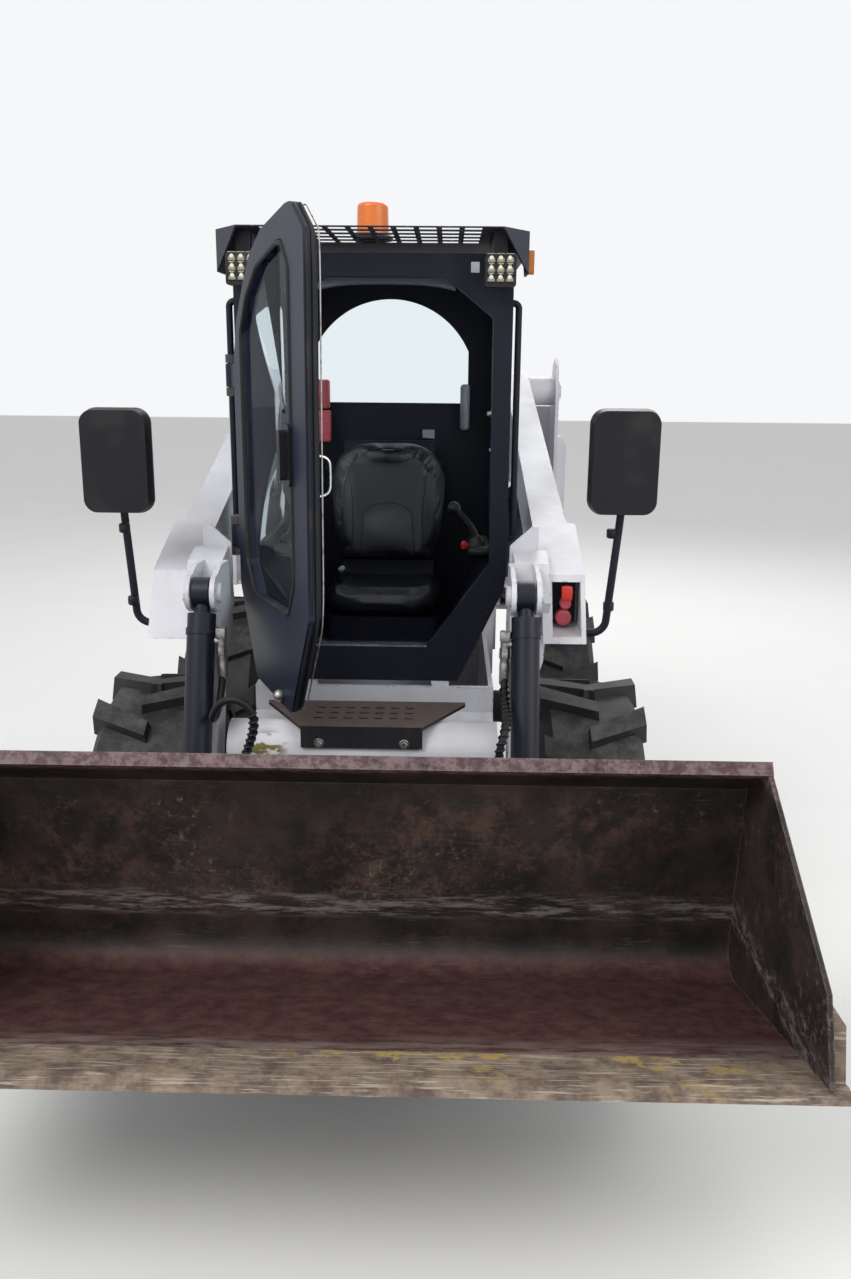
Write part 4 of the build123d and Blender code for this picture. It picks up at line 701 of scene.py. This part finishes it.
def add_hoses():
    """The two tilt hoses with their steel ferrules and spiral guards."""
    for side, sign in (("left", 1), ("right", -1)):
        route = [at(*p) for p in HOSE_ROUTES[side]]
        hose = tube(f"hose_{side}_cord", route, 0.009, "rubber", "lift_arms")
        hose.data.bevel_resolution = 6
        hose.data.resolution_u = 16
        spots = centre_line(hose)
        first = int(GUARD_STARTS[side] * len(spots))
        across = Vector((1, 0, 0))
        coils = []
        walked = 0.0
        for one, two in zip(spots[first:-14], spots[first + 1 :]):
            along = (two - one).normalized()
            across = (across - across.dot(along) * along).normalized()
            turn = 2 * pi * walked / 0.017
            coils.append(one + 0.0095 * (cos(turn) * across + sin(turn) * along.cross(across)))
            walked += (two - one).length
        guard = tube(f"hose_guard_{side}", coils, 0.0036, "plastic", "lift_arms", 2)
        guard.data.resolution_u = 1
        guard.data.bevel_resolution = 1
        bm = bmesh.new()
        top = route[0] + Vector((0, 0, 0.012))
        ferrule = ((0, 0.0115), (0.005, 0.0122), (0.055, 0.0122), (0.058, 0.011), (0.064, 0.011))
        lathe(bm, top - Vector((0, 0, 0.062)), (0, 0, 1), ferrule)
        nut = ((0, 0.0125), (0.002, 0.0135), (0.018, 0.0135), (0.020, 0.0125))
        lathe(bm, top + Vector((0, 0, 0.004)), (0, 0, 1), nut, 6)
        lathe(bm, top + Vector((0, 0, 0.026)), (0, 0, 1), ((0, 0.011), (0.022, 0.011)))
        block(bm, top + Vector((-0.012, -0.012, 0.046)), top + Vector((0.012, 0.012, 0.074)), 0.003)
        fitting = add_mesh(f"hose_ferrule_{side}", bm, "zinc", "lift_arms", 30)
        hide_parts(f"hose_{side}")


def add_pad(name, shape, columns, rows, body, cap):
    """A closed cushion from its front and back faces, puffed up by a cloth simulation.

    shape(s, t, side) gives a point of one face: s runs across from -1 to 1 and t from 0 to 1.
    """
    bm = bmesh.new()
    grid = {}
    for side in (1, -1):
        for i in range(columns + 1):
            for j in range(rows + 1):
                rim = i in (0, columns) or j in (0, rows)
                if side == -1 and rim:
                    grid[side, i, j] = grid[1, i, j]
                else:
                    grid[side, i, j] = bm.verts.new(shape(2 * i / columns - 1, j / rows, side))
    for side in (1, -1):
        for i in range(columns):
            for j in range(rows):
                bm.faces.new([grid[side, i + a, j + b] for a, b in ((0, 0), (1, 0), (1, 1), (0, 1))])
    pad = add_mesh(name, bm, "vinyl", body, 180)
    remesh = pad.modifiers.new("remesh", "REMESH")
    remesh.mode = "VOXEL"
    remesh.voxel_size = 0.006
    bake(pad)
    start = [v.co.copy() for v in pad.data.vertices]
    cloth = pad.modifiers.new("cloth", "CLOTH")
    cloth.settings.use_pressure = True
    cloth.settings.uniform_pressure_force = 4
    cloth.settings.effector_weights.gravity = 0
    cloth.settings.quality = 4
    for frame_number in range(1, 21):
        bpy.context.scene.frame_set(frame_number)
    bake(pad)
    bpy.context.scene.frame_set(1)
    for vertex, was in zip(pad.data.vertices, start):
        moved = vertex.co - was
        if moved.length > cap:
            vertex.co = was + moved * (cap / moved.length)
    smooth = pad.modifiers.new("smooth", "SUBSURF")
    smooth.levels = 1
    smooth.render_levels = 1
    pad.data.shade_smooth()
    return pad


def bake(piece):
    """Turns a piece's modifiers into its own mesh."""
    ready = piece.evaluated_get(bpy.context.evaluated_depsgraph_get())
    mesh = bpy.data.meshes.new_from_object(ready)
    piece.modifiers.clear()
    piece.data = mesh


def hump(value, centre, width):
    """A smooth bump, 1 at the centre and 0 a width away."""
    away = min(1.0, abs(value - centre) / width)
    return (1 - away * away) ** 2


def back_shape(s, t, side):
    """Seat back: arched top, side bolsters, a roll for the head and a pad for the loins."""
    z = 1.030 + 0.415 * t
    half = 0.196 + 0.010 * hump(z, 1.30, 0.16) - 0.030 * hump(z, 1.03, 0.10)
    if z > 1.31:
        half *= (1 - min(0.985, (z - 1.31) / 0.140) ** 2.5) ** 0.4
    x = half * s
    edge = (1 - abs(s) ** 4) ** 0.5 * (1 - abs(2 * t - 1) ** 10) ** 0.5
    mid = 0.806 + 0.166 * (z - 1.02)
    relief = 0.030 * hump(abs(x), 0.165, 0.055) * hump(z, 1.24, 0.22)
    relief += 0.012 * hump(x, 0, 0.10) * hump(z, 1.396, 0.032)
    relief += 0.012 * hump(x, 0, 0.11) * hump(z, 1.13, 0.09)
    deep = (0.026 + relief) if side == 1 else -0.034
    return at(x, mid - 0.010 - deep * edge, z)


def cushion_shape(s, t, side):
    """Seat cushion: round front corners, raised sides and a full front edge."""
    y = 0.430 + 0.352 * t
    half = 0.203
    if t < 0.34:
        half *= (1 - ((0.34 - t) / 0.345) ** 2.6) ** 0.4
    x = half * s
    edge = (1 - abs(s) ** 6) ** 0.5 * (1 - abs(2 * t - 1) ** 12) ** 0.5
    relief = 0.014 * hump(abs(x), 0.165, 0.06) + 0.008 * hump(y, 0.47, 0.07)
    deep = (0.030 + relief) if side == 1 else -0.036
    return at(x, y, 0.962 + deep * edge)


def add_seam(name, pad, towards, points, radius=0.0016):
    """A stitched bead laid on a cushion: each point is moved along towards until it meets it."""
    tree = skin(pad.data)
    line = []
    for point in points:
        hit = tree.ray_cast(Vector(point), Vector(towards))[0]
        if hit is not None:
            line.append(hit - 0.3 * radius * Vector(towards))
    return tube(name, line, radius, "plastic", "cab")


def run(points, steps):
    """The corners of a bent line, with more places along each straight."""
    out = []
    for one, two in zip(points, points[1:]):
        out += [Vector(one).lerp(Vector(two), k / steps) for k in range(steps)]
    return out + [Vector(points[-1])]


def add_seat():
    """The seat's back and cushion, with the seams of their sewn panels."""
    back = add_pad("seat_back_pad", back_shape, 34, 34, "cab", 0.008)
    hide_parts("seat_back")
    cushion = add_pad("seat_cushion_pad", cushion_shape, 34, 30, "cab", 0.008)
    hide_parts("seat_cushion")
    ahead = (0, 1, 0)
    for sign, side in ((1, "left"), (-1, "right")):
        line = [(0.128, 1.06), (0.118, 1.16), (0.122, 1.26), (0.135, 1.35), (0.105, 1.405)]
        add_seam(f"seat_seam_{side}", back, ahead, run([at(sign * x, 0.5, z) for x, z in line], 5))
        line = [(0.092, 1.05), (0.090, 1.12), (0.084, 1.185)]
        add_seam(f"seat_lumbar_{side}", back, ahead, run([at(sign * x, 0.5, z) for x, z in line], 5))
        line = [at(sign * x, y, 1.2) for x, y in ((0.135, 0.46), (0.138, 0.60), (0.130, 0.73))]
        add_seam(f"cushion_seam_{side}", cushion, (0, 0, -1), run(line, 6))
    arch = [at(0.088 * cos(a), 0.5, 1.186 + 0.052 * sin(a)) for a in (pi * k / 12 for k in range(13))]
    add_seam("seat_lumbar_top", back, ahead, arch)
    oval = [at(0.082 * cos(a), 0.5, 1.397 + 0.024 * sin(a)) for a in (2 * pi * k / 24 for k in range(25))]
    add_seam("seat_head_roll", back, ahead, oval)


# The work lamps' middle on the left side, and the pitch of their nine lenses
LAMP_X = 0.3315
LAMP_Z = 1.9435
LENS_PITCH = 0.0235


def add_lamps():
    """Square work lamps with nine lenses each, and a collar under the beacon."""
    tree = skin(nodes["work_lamps"].data)
    for sign, side in ((1, "left"), (-1, "right")):
        tiles = bmesh.new()
        diodes = bmesh.new()
        for i in (-1, 0, 1):
            for j in (-1, 0, 1):
                start = at(sign * LAMP_X + LENS_PITCH * i, -0.3, LAMP_Z + LENS_PITCH * j)
                hit = tree.ray_cast(start, Vector((0, 1, 0)))[0]
                if hit is not None:
                    half = Vector((0.0112, 0, 0.0112))
                    front = hit - half - Vector((0, 0.004, 0))
                    block(tiles, front, hit + half + Vector((0, 0.0005, 0)), 0.002)
                    dome = ((0.003, 0.0062), (0.0048, 0.0056), (0.0058, 0.003), (0.006, 0.001))
                    lathe(diodes, hit, (0, -1, 0), dome, 16)
        add_mesh(f"lamp_lenses_{side}", tiles, "lens", "cab", 50)
        add_mesh(f"lamp_diodes_{side}", diodes, "diode", "cab", 60)
    low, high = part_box("beacon")
    bm = bmesh.new()
    middle = Vector(((low[0] + high[0]) / 2, (low[1] + high[1]) / 2, low[2]))
    wide = (high[0] - low[0]) / 2
    collar = ((-0.0005, wide + 0.007), (0.009, wide + 0.007), (0.013, wide + 0.003), (0.016, wide + 0.001))
    lathe(bm, middle, (0, 0, 1), collar, 40)
    add_mesh("beacon_collar", bm, "plastic", "cab")


def add_controls():
    """Grips on the two side pods, a red button and the pale end of a small lever."""
    for sign, side in ((1, "left"), (-1, "right")):
        foot = at(sign * 0.300, 0.500, 1.150)
        rise = ((0.292, 0.500, 1.185), (0.258, 0.497, 1.228), (0.226, 0.494, 1.262))
        stem = [foot] + [at(sign * x, y, z) for x, y, z in rise]
        grip = tube(f"grip_stem_{side}", stem, 0.0125, "plastic", "cab")
        bm = bmesh.new()
        lathe(bm, stem[-1], (-sign * 0.6, 0, 0.8), ball(0.021))
        boot = ((0, 0.030), (0.012, 0.027), (0.026, 0.018), (0.034, 0.0135))
        lathe(bm, foot - Vector((0, 0, 0.01)), (0, 0, 1), boot)
        block(bm, at(sign * 0.309 - 0.037, 0.430, 1.112), at(sign * 0.309 + 0.037, 0.690, 1.146), 0.012)
        head = add_mesh(f"grip_head_{side}", bm, "plastic", "cab", 50)
        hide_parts("control_levers")
    bm = bmesh.new()
    button = ((0, 0.013), (0.006, 0.013), (0.009, 0.010), (0.016, 0.009), (0.019, 0.006))
    lathe(bm, at(0.262, 0.470, 1.144), (-0.3, -0.55, 0.8), button)
    add_mesh("stop_button", bm, "red_button", "cab", 50)
    stem = [at(-0.150, 0.58, 0.99), at(-0.152, 0.55, 1.03), at(-0.140, 0.52, 1.055)]
    tube("small_lever_stem", stem, 0.006, "plastic", "cab")
    bm = bmesh.new()
    end = ((0, 0.006), (0.004, 0.009), (0.020, 0.008), (0.024, 0.004))
    lathe(bm, at(-0.141, 0.522, 1.052), (0.5, -0.5, 0.5), end)
    add_mesh("small_lever_end", bm, "blank", "cab", 50)


def add_cab_trim():
    """Headliner strip, sill plate, latches, the red box, blank plates and the cab's bolts."""
    bm = bmesh.new()
    section = ((0.112, 1.931), (0.106, 1.912), (0.122, 1.909), (0.150, 1.931))
    rows = []
    for s in (k / 12 for k in range(-12, 13)):
        drop = 0.016 * abs(s) ** 3
        x = 0.033 + 0.185 * s
        rows.append([bm.verts.new(at(x, y, z - drop)) for y, z in section])
    for one, two in zip(rows, rows[1:]):
        for k in range(4):
            bm.faces.new((one[k], one[(k + 1) % 4], two[(k + 1) % 4], two[k]))
    bm.faces.new(rows[0])
    bm.faces.new(list(reversed(rows[-1])))
    add_mesh("headliner_strip", bm, "liner", "cab", 40)
    bm = bmesh.new()
    block(bm, at(-0.205, 0.076, 0.9165), at(0.150, 0.112, 0.9215), 0.002)
    add_mesh("sill_strip", bm, "sill", "cab")
    bm = bmesh.new()
    block(bm, at(0.322, 0.105, 1.556), at(0.344, 0.150, 1.588), 0.004)
    block(bm, at(0.318, 0.112, 1.470), at(0.344, 0.135, 1.478), 0.002)
    lathe(bm, at(0.318, 0.120, 1.572), (-1, 0, 0), ((-0.01, 0.007), (0.006, 0.007), (0.008, 0.005)))
    add_mesh("door_catches", bm, "zinc", "cab")
    bm = bmesh.new()
    block(bm, at(-0.262, 0.955, 1.545), at(-0.214, 0.995, 1.645), 0.008)
    block(bm, at(-0.268, 0.950, 1.430), at(-0.210, 0.995, 1.540), 0.008)
    add_mesh("red_box", bm, "red", "cab")
    bm = bmesh.new()
    reel = ((0, 0.010), (0.008, 0.017), (0.150, 0.017), (0.158, 0.010))
    lathe(bm, at(0.262, 0.972, 1.475), (0, 0, 1), reel)
    add_mesh("belt_reel", bm, "blank", "cab", 50)
    bm = bmesh.new()
    block(bm, at(0.113, 0.990, 1.444), at(0.156, 0.9965, 1.474), 0.0015)
    add_mesh("blank_label_rear", bm, "blank", "cab")
    bm = bmesh.new()
    block(bm, at(0.256, -0.020, 1.930), at(0.278, -0.012, 1.956), 0.0015)
    add_mesh("blank_label_top", bm, "blank", "cab")
    spots = ((0.352, 1.150), (0.318, 1.02), (0.352, 1.90))
    fronts = [at(sign * x, -0.2, z) for sign in (1, -1) for x, z in spots]
    add_bolts("cab_bolts", "cab_frame", "cab", (0, 1, 0), fronts, 0.006, "plastic")


# The open door's own axes: along it from the hinge, and out of its outer face
DOOR_OPEN = radians(66.5)
DOOR_ALONG = Vector((cos(DOOR_OPEN), -sin(DOOR_OPEN), 0))
DOOR_OUT = Vector((-sin(DOOR_OPEN), -cos(DOOR_OPEN), 0))

# The door's outer edge, from the top to the bottom, and the edge of its glass
DOOR_EDGE = [
    (0.604, 2.026),
    (0.634, 2.024),
    (0.724, 1.964),
    (0.712, 1.150),
    (0.552, 0.894),
    (0.230, 0.894),
]
GLASS_EDGE = [
    (0.144, 1.200),
    (0.144, 1.776),
    (0.216, 1.860),
    (0.333, 1.926),
    (0.503, 1.958),
    (0.552, 1.956),
    (0.606, 1.900),
    (0.600, 1.210),
    (0.546, 1.132),
    (0.216, 1.116),
]
# Depth, radius and material of the beads along the door's edge
DOOR_BEADS = ((-0.006, 0.0035, "rubber"), (-0.020, 0.0045, "rubber"), (-0.033, 0.0018, "zinc"))


def on_door(u, z, depth):
    """A point on the open door: u from the hinge, depth out of its outer face."""
    return at(-0.380, 0.038, z) + u * DOOR_ALONG + depth * DOOR_OUT


def add_door_trim():
    """Seal beads along the door's edges, its wire handle, the screws of the lock box and the latch ball."""
    for k, (depth, radius, kind) in enumerate(DOOR_BEADS):
        line = [on_door(u, z, depth) for u, z in run(DOOR_EDGE, 4)]
        tube(f"door_bead_{k}", line, radius, kind, "door")
    line = [on_door(u, z, 0.001) for u, z in run(GLASS_EDGE + GLASS_EDGE[:1], 4)]
    tube("door_glass_seal", line, 0.0055, "rubber", "door")
    wire = ((-0.030, 1.512), (-0.058, 1.512), (-0.060, 1.470), (-0.058, 1.425), (-0.030, 1.425))
    tube("door_wire_handle", [on_door(0.690, z, d) for d, z in wire], 0.0028, "chrome", "door")
    bm = bmesh.new()
    lathe(bm, on_door(0.470, 0.915, 0.010), (0, 0, 1), ball(0.015))
    lathe(bm, on_door(0.470, 0.915, -0.004), DOOR_OUT, ((0, 0.011), (0.008, 0.011), (0.012, 0.007)))
    add_mesh("door_latch_ball", bm, "zinc", "door", 50)
    places = [on_door(u, z, 0.08) for u, z in ((0.545, 1.40), (0.545, 1.60), (0.600, 1.42), (0.600, 1.60))]
    add_bolts("door_lock_screws", "door_frame", "door", -DOOR_OUT, places, 0.0045, "plastic", 12)


def add_mirror_joints():
    """Two collars on each mirror's stalk."""
    stalk_y = -0.458
    tree = skin(nodes["mirror_stalks"].data)
    for side, sign in (("left", 1), ("right", -1)):
        bm = bmesh.new()
        for z in (1.10, 1.29):
            near = tree.find_nearest(Vector((sign * 0.63, stalk_y, z)))[0]
            collar = ((0, 0.011), (0.003, 0.014), (0.021, 0.014), (0.024, 0.011))
            lathe(bm, (near[0] - sign * 0.006, stalk_y, z - 0.012), (0, 0, 1), collar)
        add_mesh(f"mirror_collars_{side}", bm, "plastic", "lift_arms", 50)


def add_arm_trim():
    """White gussets beside the tilt cylinders' tops, and the flag on the coupler's caps."""
    for side, sign in (("left", 1), ("right", -1)):
        outline = ((0.372, 1.105), (0.372, 1.236), (0.430, 1.288), (0.448, 1.288), (0.448, 1.105))
        bm = bmesh.new()
        front = [bm.verts.new(at(sign * x, -0.064, z)) for x, z in outline]
        rear = [bm.verts.new(at(sign * x, -0.056, z)) for x, z in outline]
        bm.faces.new(front)
        bm.faces.new(list(reversed(rear)))
        for k in range(5):
            bm.faces.new((front[k], rear[k], rear[(k + 1) % 5], front[(k + 1) % 5]))
        bmesh.ops.bevel(bm, geom=bm.edges[:], offset=0.0015, segments=2, profile=0.5, affect="EDGES")
        add_mesh(f"arm_gusset_{side}", bm, "white", "lift_arms", 30)
    bm = bmesh.new()
    block(bm, at(0.504, -0.172, 1.112), at(0.531, -0.150, 1.148), 0.003)
    add_mesh("cap_flag", bm, "flag", "lift_arms")


def add_wheel_nuts():
    """Eight nuts on each wheel's hub face."""
    angles = [2 * pi * (k + 0.5) / 8 for k in range(8)]
    for end in ("front", "rear"):
        for side, sign in (("left", 1), ("right", -1)):
            spin = joints[f"wheel_{end}_{side}_spin"]["pos_m"]
            centre = Vector((sign * 0.9, spin[1], spin[2]))
            places = [centre + 0.068 * Vector((0, cos(a), sin(a))) for a in angles]
            wheel = f"{end}_{side}"
            add_bolts(
                f"wheel_nuts_{wheel}", f"rim_{wheel}", f"wheel_{wheel}", (-sign, 0, 0), places, 0.012
            )


def add_frame_bolts():
    """Bolts on the step, the towers and the rear doors."""
    steps = [at(x, -0.6, 0.797) for x in (-0.105, 0.105)]
    add_bolts("step_bolts", "step", "chassis", (0, 1, 0), steps, 0.008)
    pivot = ((PIVOT_BEHIND + 0.085, 1.605), (PIVOT_BEHIND - 0.085, 1.605))
    for side, sign in (("left", 1), ("right", -1)):
        places = [at(sign * 0.9, y, z) for y, z in pivot + ((1.60, 0.80), (1.60, 0.68))]
        add_bolts(f"tower_bolts_{side}", f"tower_{side}", "chassis", (-sign, 0, 0), places, 0.010)
    places = [Vector((x, 2.2, z)) for x in (-0.27, 0.27) for z in (0.42, 0.96)]
    add_bolts("tailgate_bolts", "tailgate", "tailgate", (0, -1, 0), places, 0.009, "plastic")
    low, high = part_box("hood_grille")
    across = (low[0] + 0.03, high[0] - 0.03)
    places = [Vector((x, y, 1.6)) for x in across for y in (low[1] + 0.04, high[1] - 0.04)]
    add_bolts("hood_bolts", "hood_grille", "hood", (0, 0, -1), places, 0.009, "plastic")


make_materials()
add_camera()
add_stage()
dress_nodes()
add_hoses()
add_seat()
add_lamps()
add_controls()
add_cab_trim()
add_door_trim()
add_mirror_joints()
add_arm_trim()
add_wheel_nuts()
add_frame_bolts()
bpy.context.scene.view_settings.view_transform = "Standard"

corners = {"cad": cad_box, "visual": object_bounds()}
{k: [list(v[0]), list(v[1])] for k, v in corners.items()}
